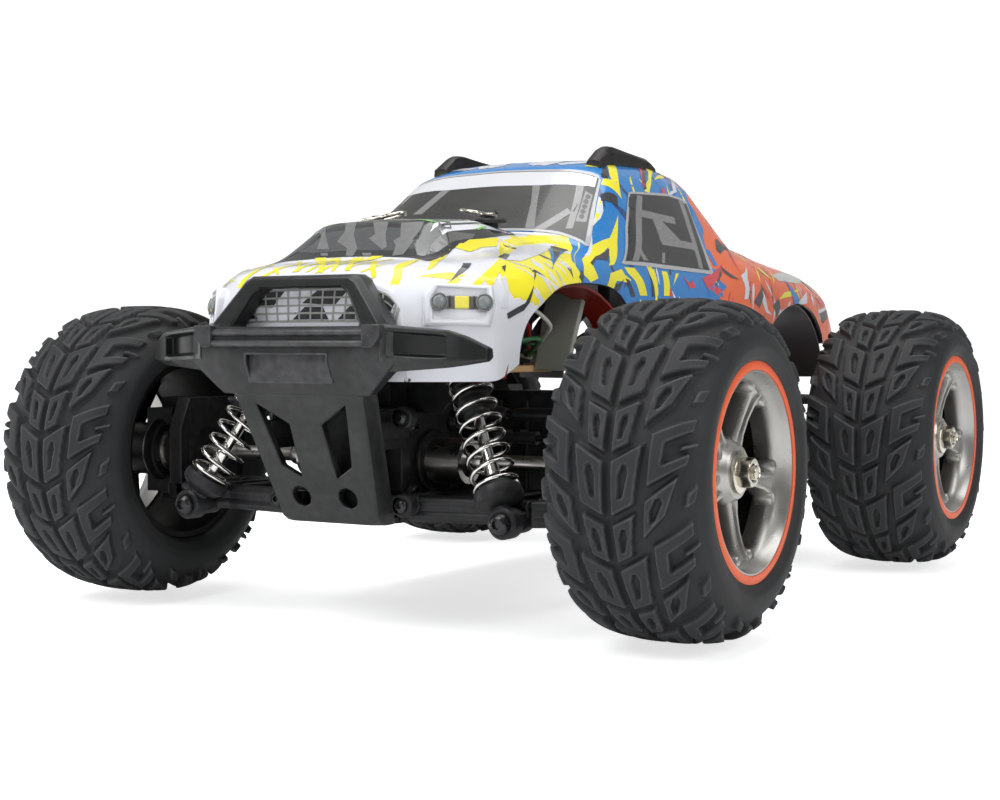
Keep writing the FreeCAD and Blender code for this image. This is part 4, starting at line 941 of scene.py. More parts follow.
# colour: lift, outlines
STREAKS = {
    "yellow": (0.13, """180.1,66.4 183,68 173,74.7 164.4,79.1 163.7,77 167.1,72.6;
158,72.6 161.4,72.1 165.7,74.8 165.2,77.3 164.2,78.8 161.5,76.8;
152,75.3 148.2,77.9 142.5,77.8 135.8,77.6 143.3,76.6;
135.4,87.8 130.9,88.4 138.2,83.2 123.3,84.9 118.6,87.6 118,93 110.6,93.7 107.8,90.7
115.2,84.5 126.4,80.8 142.7,81.9 156.6,80.2 147.1,82.9;
124,96.1 129.4,91.5 140.2,89.4 141.3,91.7 145.5,93.4 142.7,94.4 133.1,94 129.4,96.5;
143.2,88.6 151.7,88.6 156.2,93.1 158.9,97.4 152.3,97.6 149,93.6 144.7,91.1;
163.1,88.4 169.3,88.6 169,97 164.3,97.2; 176,88.9 181.1,89.1 180.2,96.7 174.1,96.8;
189.2,89.5 192.4,89.4 183.3,94.3;
212.3,69.3 216.3,70 200.3,77.2 194.3,78.7 189.5,78.6 200.3,76;
227.9,69.3 231.5,69.2 219.4,74 205.3,76.2; 301.2,94.8 311.4,91.1 335.7,87.4 319.6,92.1;
51.6,46.9 51.6,48.9 36.5,53.2 33.7,53.9 34.2,52.6 38.7,51.4;
40.9,41.1 37.2,43.4 34,44.5 34.1,43.7; 48.9,44.2 49.7,44.9 35.4,48.4 34.7,47.7 38.7,47.1;
50.8,50.7 51,51.7 38.2,55.4 34.3,56 35.1,55.2 42.4,53.4;
35,58 50.1,54 51.2,55.8 41.6,57.3 34.8,59.1;
45.4,58.7 47.2,59.4 35.7,63.9 31.9,67 31,65.9 35.7,62.8;
30.5,76.2 36.8,69.1 44.8,66.1 49.6,67.6 37.2,72 32,78.7;
39.5,77.6 48.5,71.2 53.7,70.4 65.4,68.5 49.5,72.7 42,76.9;
67.5,68.3 79.5,67.8 97.9,68.1 91.2,70.2 82.6,69.7 72.6,70.5;
39.4,85.2 44.1,82.6 45.5,84 41.9,85.8;
45.3,87.6 49.8,84.8 64.3,79.4 77.5,74.8 75.5,76.9 57.6,85.2 51.6,88.8 51.3,86.1 47.2,88;
47.2,17.7 38.7,20.4 36,20.1 44.1,17.4; 47.8,23.1 44.9,25.7 36.2,27 42.2,22.8;
103,68.4 116.7,68.5 118.6,70.5 110.2,70.5 96.9,70.1"""),
    "white": (0.145, """152,74.4 152.3,75.8 148.2,77.9 144,78.3 137.7,77.9 135.3,77.9 144.5,76.3;
132.1,77.7 132.9,79 128.4,81.1 119.1,84.2 119.5,82.8 128,80.1;
235.1,70.2 237.2,71.2 226.2,77.6 213.4,79 213.2,78.7 221.8,77.6;
213.7,79 227.3,78.7 223,79.2 213.7,79.3;
271,84.2 266,89.2 265.5,93.4 262.8,96.3 257.9,96.5 260.6,93.3 259,88.6 264.4,87.5;
280.8,92.3 284.9,96 287,98.4 292.2,99.7 284,99.1 280.2,96.7;
295.5,93.9 297.6,98.1 292,102.1 294.6,98.2;
299.9,99 310,96.8 328.9,93.8 346.6,87.3 342.1,93 325.1,95.1 308.6,97.6 301,100.8;
359.8,93.4 376.2,89.8 379.7,90 365.2,94.1 360.3,96.2;
69.4,78.1 77.6,80.5 100.2,78 118.4,74.3 116.6,72 104.1,71.4 80.8,75.7;
52.8,94.3 56.6,90.6 58.5,86.3 60.6,85.7 58.1,90.9 55.6,94.7"""),
    "pale": (0.15, "301.3,84.4 338.2,77 350.4,79 365.4,78.2 340,84 310.1,86.2"),
    "blue": (0.16, """124.2,73.6 126.3,75.8 121.1,78.8 112,82.9 106.5,86.2 108.3,83.9 119.3,78.1;
99.8,81.3 110.2,78.8 115.3,78.6 106.1,80.6 92.5,84.7; 59,95.3 63.3,94.8 62.2,96.2 59.8,96.4;
235.8,79 237.8,79.8 238.6,81.9 236.3,82.4 229.8,82.5 229.8,81.3;
229.6,84 235.2,84.2 236.8,86.3 232.9,86.5; 218.2,93.9 232.3,92.8 233.9,96.1 219.9,96.3;
47.7,80.1 53.8,76.8 56.2,77.5 50,80 46.9,81.9; 109.2,75.9 116.3,75.4 92.6,84.4 95.5,82.3"""),
    "red": (0.17, """204.4,68.6 207.3,69.4 193.1,78.2 190,78.1; 207.5,78 211.3,77.8 210.5,79 207.2,79;
195.2,90.4 201,93.2 204,91.5 205.6,94.1 199.4,94.6; 180.2,94.6 182.8,96.8 179.3,96.9;
214.6,90.6 226.2,88.5 241.9,86 238.5,88.1 224.8,93 233.4,94.4 228.5,96 217,93.9;
359.7,87.4 378.4,86.9 379,88.4 367.8,91.2"""),
    "black": (0.185, """153.9,74.4 162,78.4 159.2,79.5 155,77.8 151,75.9;
118,86.7 124.5,84.6 138.3,83.5 132,86.4 123.5,85.8 118.2,88;
115.5,74.4 115.9,75.5 116.5,78.6 110.7,78.9 95,83.7 86.3,87.2;
55,95.7 63.2,94.7 70,90.3 64.9,95 62.2,96.2 55.4,96.8; 77.3,85.2 74.8,87.6 71.1,89.2;
103.1,91.2 109,88.5 106.8,91.5 104.3,93.2; 129.9,96.4 139.2,93.4 134.4,96.6 131.6,97.2;
140.6,93 143.6,93.4 148.2,98 144.5,98.1; 163.6,91.3 165.5,95.1 166,97.4 163.1,97.5;
173.5,68.2 167.1,72.6 163.3,73.4 161.4,71; 206.2,69.2 210.8,69.5 192.9,78.2 190.1,78.4;
249.4,81.6 252.8,81.5 259.1,81.6 246.2,84.2 243.3,83.9;
240.2,86.3 256.4,90.4 247,89.7 240,87.5; 237.9,86.9 237.2,88.8 226.3,93.7;
270,96.9 281.7,91.9 281.7,94.8 276.6,98.2; 293.6,96.9 301.3,94.4 303.1,97.2 298.1,100;
360.7,94.8 379.6,89.9 377.6,93.5 366.6,98.2;
41.5,84.5 47.5,80 53.6,76.7 55.7,77.8 48.6,81.1 44.8,82.9;
72.9,76.2 82.7,74.6 81.8,76 71.6,78.6; 64.2,81.7 67,81.2 62.1,84.4"""),
}
for colour, (lift, text) in STREAKS.items():
    decal("streaks_" + colour, outlines(text), "paint_" + colour, lift, step=1.6, slot="shell")

# small jagged shards fill the fields between the larger streaks
rng = np.random.default_rng(11)


def shard(row, column, angle, length, width):
    """Thin jagged splinter about a place on the skin grid."""
    upper = []
    for i in range(5):
        t = i / 4
        upper.append((t - 0.5, width * (0.15 + math.sin(math.pi * t))
                      * (1.0 + 0.5 * rng.uniform(-1, 1))))
    lower = [(a, -b * rng.uniform(0.1, 0.7)) for a, b in upper[::-1]]
    bend = rng.uniform(-0.25, 0.25)
    sin, cos = math.sin(angle), math.cos(angle)
    shape = []
    for a, b in upper + lower:
        x, y = a * length, b + bend * length * (0.25 - a * a)
        shape.append((round(float(row + x * cos - y * sin), 2),
                      round(float(column + (x * sin + y * cos) * 0.5), 2)))
    return shape


def scatter(count, rows, columns, field, colours):
    """Shards by colour, kept clear of the edge of the field."""
    bag = {}
    for _ in range(count * 6):
        if sum(len(shapes) for shapes in bag.values()) >= count:
            break
        row, column = rng.uniform(*rows), rng.uniform(*columns)
        if signed_distance(np.array([[row, column]]), field)[0] < 2.0:
            continue
        colour = colours[int(rng.integers(len(colours)))]
        angle = rng.choice([1.2, 1.5, 1.9, 0.9]) + rng.uniform(-0.25, 0.25)
        length, width = rng.uniform(7, 17), rng.uniform(0.8, 2.0)
        bag.setdefault(colour, []).append(shard(row, column, angle, length, width))
    return bag


# name, count, rows, columns, field, colours by weight
SHARD_AREAS = (
    ("bed", 120, (240, 388), (60, 104), "orange",
     ("deep", "deep", "deep", "deep", "black", "yellow", "white", "red")),
    ("cab", 46, (126, 234), (54, 104), "blue",
     ("navy", "navy", "yellow", "yellow", "white", "black")),
    ("bonnet", 34, (54, 124), (60, 104), "yellow", ("white", "white", "pale", "black")),
)
for area_name, count, rows, columns, field, colours in SHARD_AREAS:
    bag = scatter(count, rows, columns, FIELDS[field], colours)
    for j, (colour, shapes) in enumerate(sorted(bag.items())):
        material = "paint_deep_orange" if colour == "deep" else "paint_" + colour
        decal("shards_%s_%s" % (area_name, colour), shapes, material, 0.075 + 0.008 * j,
              step=1.4, slot="shell")

# stripes over the roof and over the bed
ROOF_STREAKS = {
    "white": """166,57 170,55 186,58 182,61 172,60; 165.5,47 172,45 190,50 184,52 170,50;
166,62 169,60.5 176,66 171,66; 192,60 206,64 222,62 210,66 196,64; 196,53 204,53 228,57 216,58;
230,66 240,70 238,73 228,70""",
    "yellow": """166,66.2 174,66 178,69 168,68.4; 180,53 188,56 200,54 192,58 182,57;
206,70 212,66 228,60 216,68 210,73""",
    "black": "176,61 190,65 200,70 188,68; 214,53 226,54 234,60 222,57",
    "red": "204,60 222,66 234,74 220,70",
}
REAR_STREAKS = {
    "yellow": "262,56 280,60 300,58 284,64 268,62; 330,66 352,70 372,67 356,74",
    "white": """300,64 318,70 340,68 322,74; 372,56 384,60 390,53 376,53;
270,70 286,74 300,73 284,78""",
    "black": """250,60 268,66 262,70; 310,53 326,58 340,54 322,62; 346,76 366,80 360,86;
394,60 404,70 398,76""",
    "blue": "256,53 272,55 290,53; 318,84 332,92 324,98",
}
for prefix, streaks, lowest in (("roof", ROOF_STREAKS, 0.14), ("rear", REAR_STREAKS, 0.145)):
    for k, (colour, text) in enumerate(streaks.items()):
        decal(prefix + "_streaks_" + colour, outlines(text), "paint_" + colour,
              lowest + 0.02 * k, step=1.6, slot="shell")

# name, material, lift, mirrored, step, outlines
PRINTS = (
    # scoop on the bonnet
    ("scoop_insert", "scoop_black", 0.12, True, 1.8,
     """51.6,53 51.4,58 50.2,65 48.6,70 50.4,71.8 57,70.4 66,68.8 80,68 97,67.8 113,66.6
117,62 118,53"""),
    ("scoop_band", "scoop_band", 0.17, True, 1.8,
     "54.6,53 54.2,60 55.4,63.8 60.1,62.6 65.2,61 66.4,53"),
    ("scoop_mesh", "scoop_mesh_ink", 0.21, False, 1.2,
     """68.3,41.9 70,43.1 64.2,44.7 55.7,48.2 56.3,45.7 63.1,44.3;
70.7,46.6 71.2,48.7 62.9,50.5 55.5,53.4 51.6,53.7 52,52.3 55.9,51.4 59.6,48.4 64.5,48.3;
69.2,52.2 68.9,55.2 62.4,56.5 56,58.5 54.8,58 60.4,54 62.4,54.6;
68.3,57.7 69.2,61.7 62.6,62.5 52.1,62.4 51.4,60.7 56.6,59.9 59.1,58.8 61.2,59.5;
54,47.1 53.8,48.5 52.4,49 52.5,47.7; 53.2,54.9 53.1,56.6 51.6,56.9 51.7,55.5;
70,34 71,37 63,36.2 60,33.2; 57,33 64,35.2 62,38.2 54.4,36.2"""),
    ("scoop_shards", "scoop_grey", 0.19, True, 1.8,
     """74.2,62.6 79.3,63.2 73.3,65.7 67,65.2; 69.7,66.1 84.9,67 81.2,67.7 66.8,67.7;
58.2,65.4 65.2,65.9 66.8,67.7 58.9,68 54.9,68"""),
    ("scoop_facets", "scoop_black", 0.21, True, 1.8,
     "59.2,62.1 67,62.2 64.1,64.7 64.1,65.7 59.5,65.9 52.1,67.4 52.2,65.2"),
    ("scoop_lines", "paint_green", 0.23, True, 1.2,
     """70.4,42.2 71.6,45 71.8,49 70.8,46 69.6,42.8; 88,64.6 96,65.8 88.6,66.4 87.6,66.1 94,65.7;
70.2,60.5 74.6,63.4 80,64 74.6,64"""),
    # windscreen
    ("screen_frame", "window_frame_print", 0.21, True, 1.8,
     "124.6,53 124.4,66 125,79.8 126.6,80.6 159.6,71.8 161.2,70.2 161,53"),
    ("screen_pane", "window_pane", 0.25, True, 1.8,
     "126.1,53 125.9,66 126.5,78.7 159.6,70.9 159.9,53"),
    ("screen_bars", "cage_print", 0.275, False, 1.4,
     """152.8,59.8 152.5,61.3 126,65.8 126.2,64.3 140.8,62.2;
152.4,67.4 152.7,68.8 129.9,72.9 128.3,71.1; 139.1,68.6 137.2,69.9 126.1,67.4 125.8,65.7;
153.6,43.6 153.6,45.3 136.6,43.1 137.2,41.4; 156.2,34.5 154.3,37.7 146.7,37 148.2,35.1;
150.5,69.7 150.6,72.3 136.2,75.6 133.8,72.4"""),
    ("screen_holes", "cage_holes", 0.295, False, 1.0,
     """149.1,72 148.3,72.2 147.5,71.9 147.1,71.5 147.1,71 147.7,70.6 148.5,70.5 149.2,70.6
149.6,71.1 149.6,71.6;
146.3,72.4 145.5,72.6 144.7,72.4 144.3,71.9 144.4,71.3 144.9,70.9 145.7,70.8 146.4,71
146.9,71.5 146.8,72;
143.7,73 142.9,73.1 142.1,72.9 141.6,72.4 141.7,71.8 142.2,71.4 143,71.3 143.8,71.5
144.2,72 144.2,72.5;
141,73.5 140.2,73.6 139.4,73.4 138.9,72.9 139,72.3 139.5,71.9 140.4,71.8 141.1,72
141.5,72.5 141.5,73;
138.3,74 137.5,74.1 136.7,73.9 136.3,73.5 136.4,72.9 136.9,72.5 137.7,72.4 138.5,72.6
138.9,73 138.8,73.6"""),
    ("sun_strip", "sun_strip", 0.31, True, 1.8,
     "151,53 151,62 152.4,68 154.4,71.4 159.2,70.4 159.4,53"),
    # side windows
    ("side_frame", "window_frame_print", 0.21, True, 1.8,
     """173,78.8 176.2,78.8 227.6,78.6 231,78.8 229.1,88.1 225.9,88.8 143.7,87.6 141.9,87.2
157.6,81.9"""),
    ("side_pane", "window_pane", 0.25, True, 1.8,
     "174,79.1 225.2,79 227.8,79.2 225.9,87.6 145.9,86.6 159.6,82.1"),
    ("side_bars", "cage_print", 0.275, True, 1.2,
     """180.3,79.2 185,79.3 175.5,81.7 156.5,86.7 151.7,86.5 169.8,81.5;
177.9,80.8 209.4,81.3 207.8,82 174.9,81.5; 185.9,81.7 195.2,81.8 207,83.7 192.9,83.8 186.4,84.1;
185.4,83.4 220.4,83.7 217.9,84.5 185.9,84.2; 162.7,84.3 166.4,86.5 162.1,86.5 160.3,84.9;
222.2,79.1 227.7,79 219.1,87.3 214.9,87.3; 182.9,85.1 185.7,85.1 181.3,86.8 178.7,86.7"""),
    ("side_slots", "cage_holes", 0.295, True, 1.2,
     """171.9,79.3 177.3,79.5 172.2,80.7 167.6,80.2; 151.8,84.6 156.4,84.8 151.4,86.2 147.5,86;
227,79.3 230.9,79.2 225.1,87.2 220.9,86.8"""),
    ("side_holes", "cage_holes", 0.31, True, 1.0,
     """167.4,81.5 166.5,81.7 165.4,81.7 164.6,81.7 164.3,81.6 164.7,81.4 165.5,81.3 166.5,81.2
167.4,81.3 167.7,81.4;
164.2,82.2 163.3,82.3 162.4,82.4 161.6,82.3 161.3,82.2 161.7,82 162.4,81.9 163.4,81.8
164.2,81.9 164.5,82;
161,82.8 160.3,83 159.3,83 158.6,83 158.4,82.9 158.7,82.7 159.4,82.5 160.3,82.5
161.1,82.5 161.3,82.7;
158.4,83.6 157.6,83.7 156.7,83.8 156,83.8 155.7,83.6 156,83.5 156.8,83.3 157.7,83.2
158.5,83.2 158.7,83.4;
155.3,84.4 154.5,84.6 153.6,84.7 152.9,84.7 152.6,84.6 153,84.3 153.7,84.1 154.7,84
155.4,84 155.7,84.2"""),
    # rear window
    ("rear_frame", "window_frame_print", 0.21, True, 1.8,
     "240,53 240,66 243,68.5 258,71 260,69 260.4,53"),
    ("rear_pane", "window_pane", 0.25, True, 1.8, "242,53 242,65 244.4,66.6 257,69 258.4,53"),
)
for name, material, lift, mirror, step, text in PRINTS:
    decal(name, outlines(text), material, lift, mirror, step)


def nose(x, z):
    """Grid place of a point on the nose face."""
    row = (z - NOSE_Z) / 27.0 * NOSE_ROWS
    row_x = GRID[int(min(max(row, 0), NOSE_ROWS - 1)), :, 0]
    return row, float(np.interp(x, row_x, np.arange(COLUMNS)))


# dark patches behind the printed grille: (x, z)
GRILLE_PATCHES = outlines("""9,84.6 17,92.4 27,92.4 24.5,84.6; -6,84.6 -2,88 4,88 6,84.6;
-22,88.5 -15,92.4 -9,92.4 -13,88; -3,89 2,92.4 12,92.4 8,88.4; -26,92.4 -24,85 -18,85 -20,88;
20,84.6 22,88 26.5,92 24.5,84.6""")


def build_grille():
    patches = [[nose(*p) for p in shape] for shape in GRILLE_PATCHES]
    decal("grille_patches", patches, "scoop_black", 0.08, mirror=False, step=1.4)
    lattice = []
    for k in range(-7, 8):                              # uprights, spread towards the top
        x, half = 3.7 * k, 0.28
        lattice.append([nose(x - half, 84.0), nose(x + half, 84.0),
                        nose(x * 1.06 + half, 92.8), nose(x * 1.06 - half, 92.8)])
    for k in range(5):                                  # cross bars
        z, width, half = 84.2 + 2.1 * k, 26.2 + 0.35 * k, 0.26
        lattice.append([nose(-width, z - half), nose(width, z - half),
                        nose(width, z + half), nose(-width, z + half)])
    for s in (-1, 1):                                   # ends
        lattice.append([nose(s * 26.4, 84), nose(s * 27.0, 84),
                        nose(s * 28.6, 93), nose(s * 28.0, 93)][::s])
    decal("grille_lattice", lattice, "grille_silver", 0.13, mirror=False, step=1.6)


build_grille()


# ------------------------------------------------------------------ bumper
# heights from the floor, y from the front axle
def plate(shape, front, back, holes, levels=(), extra=(), step=5.0):
    """Panel from an (x, z) outline between surfaces front(x, z) and back(x, z).

    levels are heights where the surfaces fold; extra are further points on folds.
    """
    def divide(ring):
        out = []
        for i in range(len(ring)):
            a, b = np.array(ring[i], float), np.array(ring[(i + 1) % len(ring)], float)
            count = int(np.linalg.norm(b - a) / step)
            cuts = {0.0} | {k / (count + 1) for k in range(1, count + 1)}
            for z in levels:
                if (a[1] - z) * (b[1] - z) < -1e-6:
                    cuts.add((z - a[1]) / (b[1] - a[1]))
            out += [tuple(a + (b - a) * t) for t in sorted(cuts)]
        return out
    points, rings = [], []
    for ring in [shape] + holes:
        divided = divide(ring)
        rings.append(list(range(len(points), len(points) + len(divided))))
        points += divided
    xs = [p[0] for p in shape]
    inner = [(x, z) for z in levels for x in np.arange(min(xs), max(xs), step * 0.6)]
    inner = np.array(inner + list(extra), float)
    free = signed_distance(inner, shape) > 0.5
    for hole in holes:
        free &= signed_distance(inner, hole) < -0.5
    points += [tuple(p) for p in inner[free]]
    edges = [pair for ring in rings[1:] for pair in zip(ring, ring[1:] + ring[:1])]
    result = delaunay_2d_cdt([Vector(p) for p in points], edges, [rings[0]], 1, 1e-6)
    flat = [(v.x, v.y) for v in result[0]]
    kept = []
    for face in result[2]:
        centre = np.mean([flat[i] for i in face], 0)[None]
        if all(signed_distance(centre, hole)[0] < 0 for hole in holes):
            kept.append(tuple(face))
    verts = [(x, FRONT_Y + side(x, z), z) for side in (front, back) for x, z in flat]
    count = len(flat)
    faces = kept + [tuple(i + count for i in face[::-1]) for face in kept]
    seen = set()
    for face in kept:
        for a, b in zip(face, face[1:] + face[:1]):
            seen.add((a, b))
    for a, b in seen:
        if (b, a) not in seen:
            faces.append((b, a, a + count, b + count))
    return verts, faces


def bumper_piece(name, parts, smooth=30, bevel=0.35, bevel_angle=40, **more):
    piece(name, parts, more.pop("material", "bumper_nylon"), "root", "bumper", smooth,
          bevel=bevel, bevel_angle=bevel_angle, **more)


def skid_fold(z):
    """x where the sides of the lower plate fold back."""
    return 15.9 + (z - 28.5) * (5.2 / 36.3)


def skid_y(x, z, depth, slope):
    return -27.6 - (z - 28.5) * 0.4298 + depth + max(0.0, abs(x) - skid_fold(z)) * slope


def skid():
    slot = [(14.9, 61.8), (5.4, 56.2), (5.9, 41.4), (11.7, 44.8)]
    hole = [(7.8 + 3.0 * math.cos(t), 35.9 + 2.76 * math.sin(t))
            for t in np.arange(28) * 2 * math.pi / 28]
    holes = [slot, [(-x, z) for x, z in slot][::-1], hole, [(-x, z) for x, z in hole][::-1]]
    folds = [(s * skid_fold(z), z) for s in (-1, 1) for z in np.arange(30, 65, 2.0)]
    return plate([(-17.0, 28.5), (17.0, 28.5), (22.2, 65.6), (-22.2, 65.6)],
                 lambda x, z: skid_y(x, z, depth=0, slope=2.4),
                 lambda x, z: skid_y(x, z, depth=2.8, slope=3.6), holes, extra=folds)


BEAM_FOLDS = (73.0, 80.0)
BEAM_SHAPE = [(-24.2, 64.4), (24.2, 64.4), (33.0, 72.6), (33.0, 82.6), (-33.0, 82.6), (-33.0, 72.6)]
RECESS = [(-13.7, 68.0), (13.3, 68.0), (13.3, 75.4), (-13.7, 75.4)]


def beam_front(x, z):
    if z < BEAM_FOLDS[0]:
        y = -44.0 - (z - 64.8) * (3.6 / 8.2)
    elif z < BEAM_FOLDS[1]:
        y = -47.6
    else:
        y = -47.6 + (z - BEAM_FOLDS[1]) * 0.38
    return y + max(0.0, abs(x) - 25.5) * 0.16


def recess_rim():
    sides = []
    for a, b in zip(RECESS, RECESS[1:] + RECESS[:1]):
        path = [(a[0] + (b[0] - a[0]) * t, a[1] + (b[1] - a[1]) * t)
                for t in np.linspace(0, 1, 10)]
        sides.append(tube([(x, FRONT_Y + beam_front(x, z) - 0.02, z) for x, z in path], 0.32, 8))
    return sides


def beam_ribs():
    """Two long ribs and the end blocks."""
    parts = []
    for z in (81.0, 78.1):
        y = beam_front(0, z) + 0.8
        section = [(y, z - 1.0), (y - 1.5, z - 0.75), (y - 1.9, z - 0.3),
                   (y - 1.9, z + 0.3), (y - 1.5, z + 0.75), (y, z + 1.0)]
        parts.append(loft([[(x, FRONT_Y + b, c) for b, c in section] for x in (-25.4, 25.2)]))
    for s in (-1, 1):
        block = [(24.9, 77.0), (28.0, 77.0), (30.6, 79.8), (30.6, 83.0), (24.9, 83.0)]
        parts.append(prism([(s * x, z) for x, z in block][::s], (FRONT_Y - 48.9, FRONT_Y - 43.0)))
    return parts


def wing():
    """Left end of the bumper: a face with a sunk pocket, outer end swept back."""
    knee = 0.72                                         # share of the length where it sweeps back

    def face(u, v):
        rise = min(1.0, u / knee)
        sweep = max(0, u - knee) / 0.28
        top = 82.6 - 1.4 * rise - sweep * 4.2
        bottom = 74.0 - 0.8 * rise + sweep * 0.6
        return np.array([29.5 + 26.0 * u, FRONT_Y - 47.3 + 5.6 * rise + sweep * 5.2,
                         bottom + (top - bottom) * v])
    rows = []
    for u in (0.0, 0.06, 0.10, 0.30, 0.55, 0.60, 0.66, 0.80, 0.97, 1.0):
        row = [face(u, v) for v in (0.0, 0.12, 0.20, 0.80, 0.87, 1.0)]
        if 0.10 <= u <= 0.60:
            for k in (2, 3):
                row[k] = row[k] + np.array([0.5, 2.6 if u > 0.2 else 1.0, 0])
        top, bottom = row[-1], row[0]
        depth = 6.0 - 3.2 * u
        row += [top + np.array([0, 1.2, 0.5 * (1 - u)]), top + np.array([0, depth, -0.2]),
                bottom + np.array([0, depth + 0.4, 0.6]),
                bottom + np.array([0, 2.2 - u, -3.2 * (1 - u) - 0.4])]
        rows.append([tuple(p) for p in row])
    return loft(rows)


def hoop():
    def across(half):
        return half + [(-x, z) for x, z in half[::-1]]
    outer = across([(29.2, 82.3), (28.3, 84.0), (19.2, 95.2), (17.0, 96.4)])
    inner = across([(20.6, 82.3), (20.6, 83.4), (15.6, 91.4), (13.2, 92.9)])
    rings = []
    for a, b in zip(np.array(outer), np.array(inner)):
        out = (a - b) / np.linalg.norm(a - b)
        section = [(a, 6.4), (a, 1.5), (a - out * 1.4, 0.0), (b + out * 1.0, 0.0),
                   (b, 1.0), (b, 6.4)]
        rings.append([(p[0], FRONT_Y - 44.8 + (p[1] - 82.5) * 0.25 + depth, p[1])
                      for p, depth in section])
    return loft(rings)


def bumper_stays():
    parts = []
    for s in (-1, 1):
        parts.append(brick((s * 13.8, s * 17.6), (FRONT_Y - 36.4, FRONT_Y - 15.0), (52, 57)))
        parts.append(brick((s * 15.1, s * 16.3), (FRONT_Y - 33.0, FRONT_Y - 15.0), (49, 60)))
        parts.append(turned([(0, 2.6), (7, 2.6)], 20, (s * 19.5, FRONT_Y - 41.2, 70), (0, 1, 0)))
    return parts


bumper_piece("bumper_skid", [skid()], bevel=0.45, replaces="front_bumper")
bumper_piece("bumper_beam", [plate(BEAM_SHAPE, beam_front, lambda x, z: -41.0, [RECESS], BEAM_FOLDS)],
             smooth=25, bevel=0.5)
bumper_piece("bumper_recess", [prism([(-14.2, 67.5), (13.8, 67.5), (13.8, 76.0), (-14.2, 76.0)],
                                     (FRONT_Y - 46.0, FRONT_Y - 42.0))], bevel=0.3, bevel_angle=30)
bumper_piece("bumper_recess_rim", recess_rim(), smooth=60, bevel=0)
bumper_piece("bumper_ribs", beam_ribs())
for side, tag in SIDES:
    bumper_piece("bumper_wing_" + tag, [wing()], smooth=28, mirror=side < 0)
bumper_piece("bumper_hoop", [hoop()], bevel=0.3, bevel_angle=35)
bumper_piece("bumper_stays", bumper_stays(), bevel=0.4, bevel_angle=30, material="black_nylon")

# ------------------------------------------------------------------ roof fins
# top edge of the left fin: (y from the front axle, z)
FIN_TOP = ((74.5, 136.4), (75.4, 137.2), (80.5, 140.6), (83, 141.5), (87, 141.7), (98, 140.9),
           (110.5, 140.2), (112.5, 139.6), (116.0, 137.2), (116.2, 136.2))


def build_fins():
    rings = []
    for y, z in FIN_TOP:
        foot = float(np.interp(y, [74, 84, 100, 117], [134.6, 136.0, 137.0, 135.8]))
        section = ((26.0, foot), (31.2, foot - 0.8), (31.0, (z + foot) / 2 + 0.6),
                   (30.2, z - 0.5), (29.2, z), (27.4, z), (26.3, z - 0.5))
        rings.append([(a, y + FRONT_Y, b) for a, b in section])
    screws = [screw_head((30.9, FRONT_Y + y, z), (1, 0, 0.15), 0.7, 0.35, 0.3)
              for y, z in ((84, 138.8), (110, 138.0))]
    for side, tag in SIDES:
        piece("roof_fin_" + tag, [loft(rings)], "roof_trim", "root", "trim", smooth=24, bevel=0.5,
              bevel_angle=25, replaces="body_trim" if side > 0 else None, mirror=side < 0)
        piece("roof_fin_screw_" + tag, screws, "screw_black", "root", "trim", smooth=40,
              mirror=side < 0)


build_fins()

# ------------------------------------------------------------------ head lamps
# the left lamp runs between these ends (y from the front axle) and faces LAMP_OUT
LAMP_INNER, LAMP_OUTER = np.array([37.1, -30.7, 88.9]), np.array([45.7, -21.9, 88.7])
LAMP_ALONG = (LAMP_OUTER - LAMP_INNER) / np.linalg.norm(LAMP_OUTER - LAMP_INNER)
LAMP_OUT = np.array([0.71, -0.70, 0.10])
LAMP_OUT = LAMP_OUT - LAMP_ALONG * (LAMP_OUT @ LAMP_ALONG)
LAMP_OUT /= np.linalg.norm(LAMP_OUT)
LAMP_UP = np.cross(LAMP_OUT, LAMP_ALONG)
LAMP_CENTRE = (LAMP_INNER + LAMP_OUTER) / 2 + np.array([0, FRONT_Y, 0])
POD = [(-12.0, -6.6), (9.4, -6.6), (11.2, -1.0), (10.4, 5.0), (-9.6, 5.4), (-12.0, 2.0)]


def lamp_point(along, up, out):
    return tuple(LAMP_CENTRE + LAMP_ALONG * along * 0.84 + LAMP_UP * up * 0.95 + LAMP_OUT * out)


def lamp_loft(*layers):
    """Loft through (outline, distance out) layers."""
    return loft([[lamp_point(a, b, out) for a, b in shape] for shape, out in layers])


def lamp_rect(left, right, half):
    return [(left, -half), (right, -half), (right, half), (left, half)]


def shrink(shape, share, rise=0.0):
    centre = np.mean(shape, 0)
    return [(centre[0] + (a - centre[0]) * share, centre[1] + (b - centre[1]) * share + rise)
            for a, b in shape]


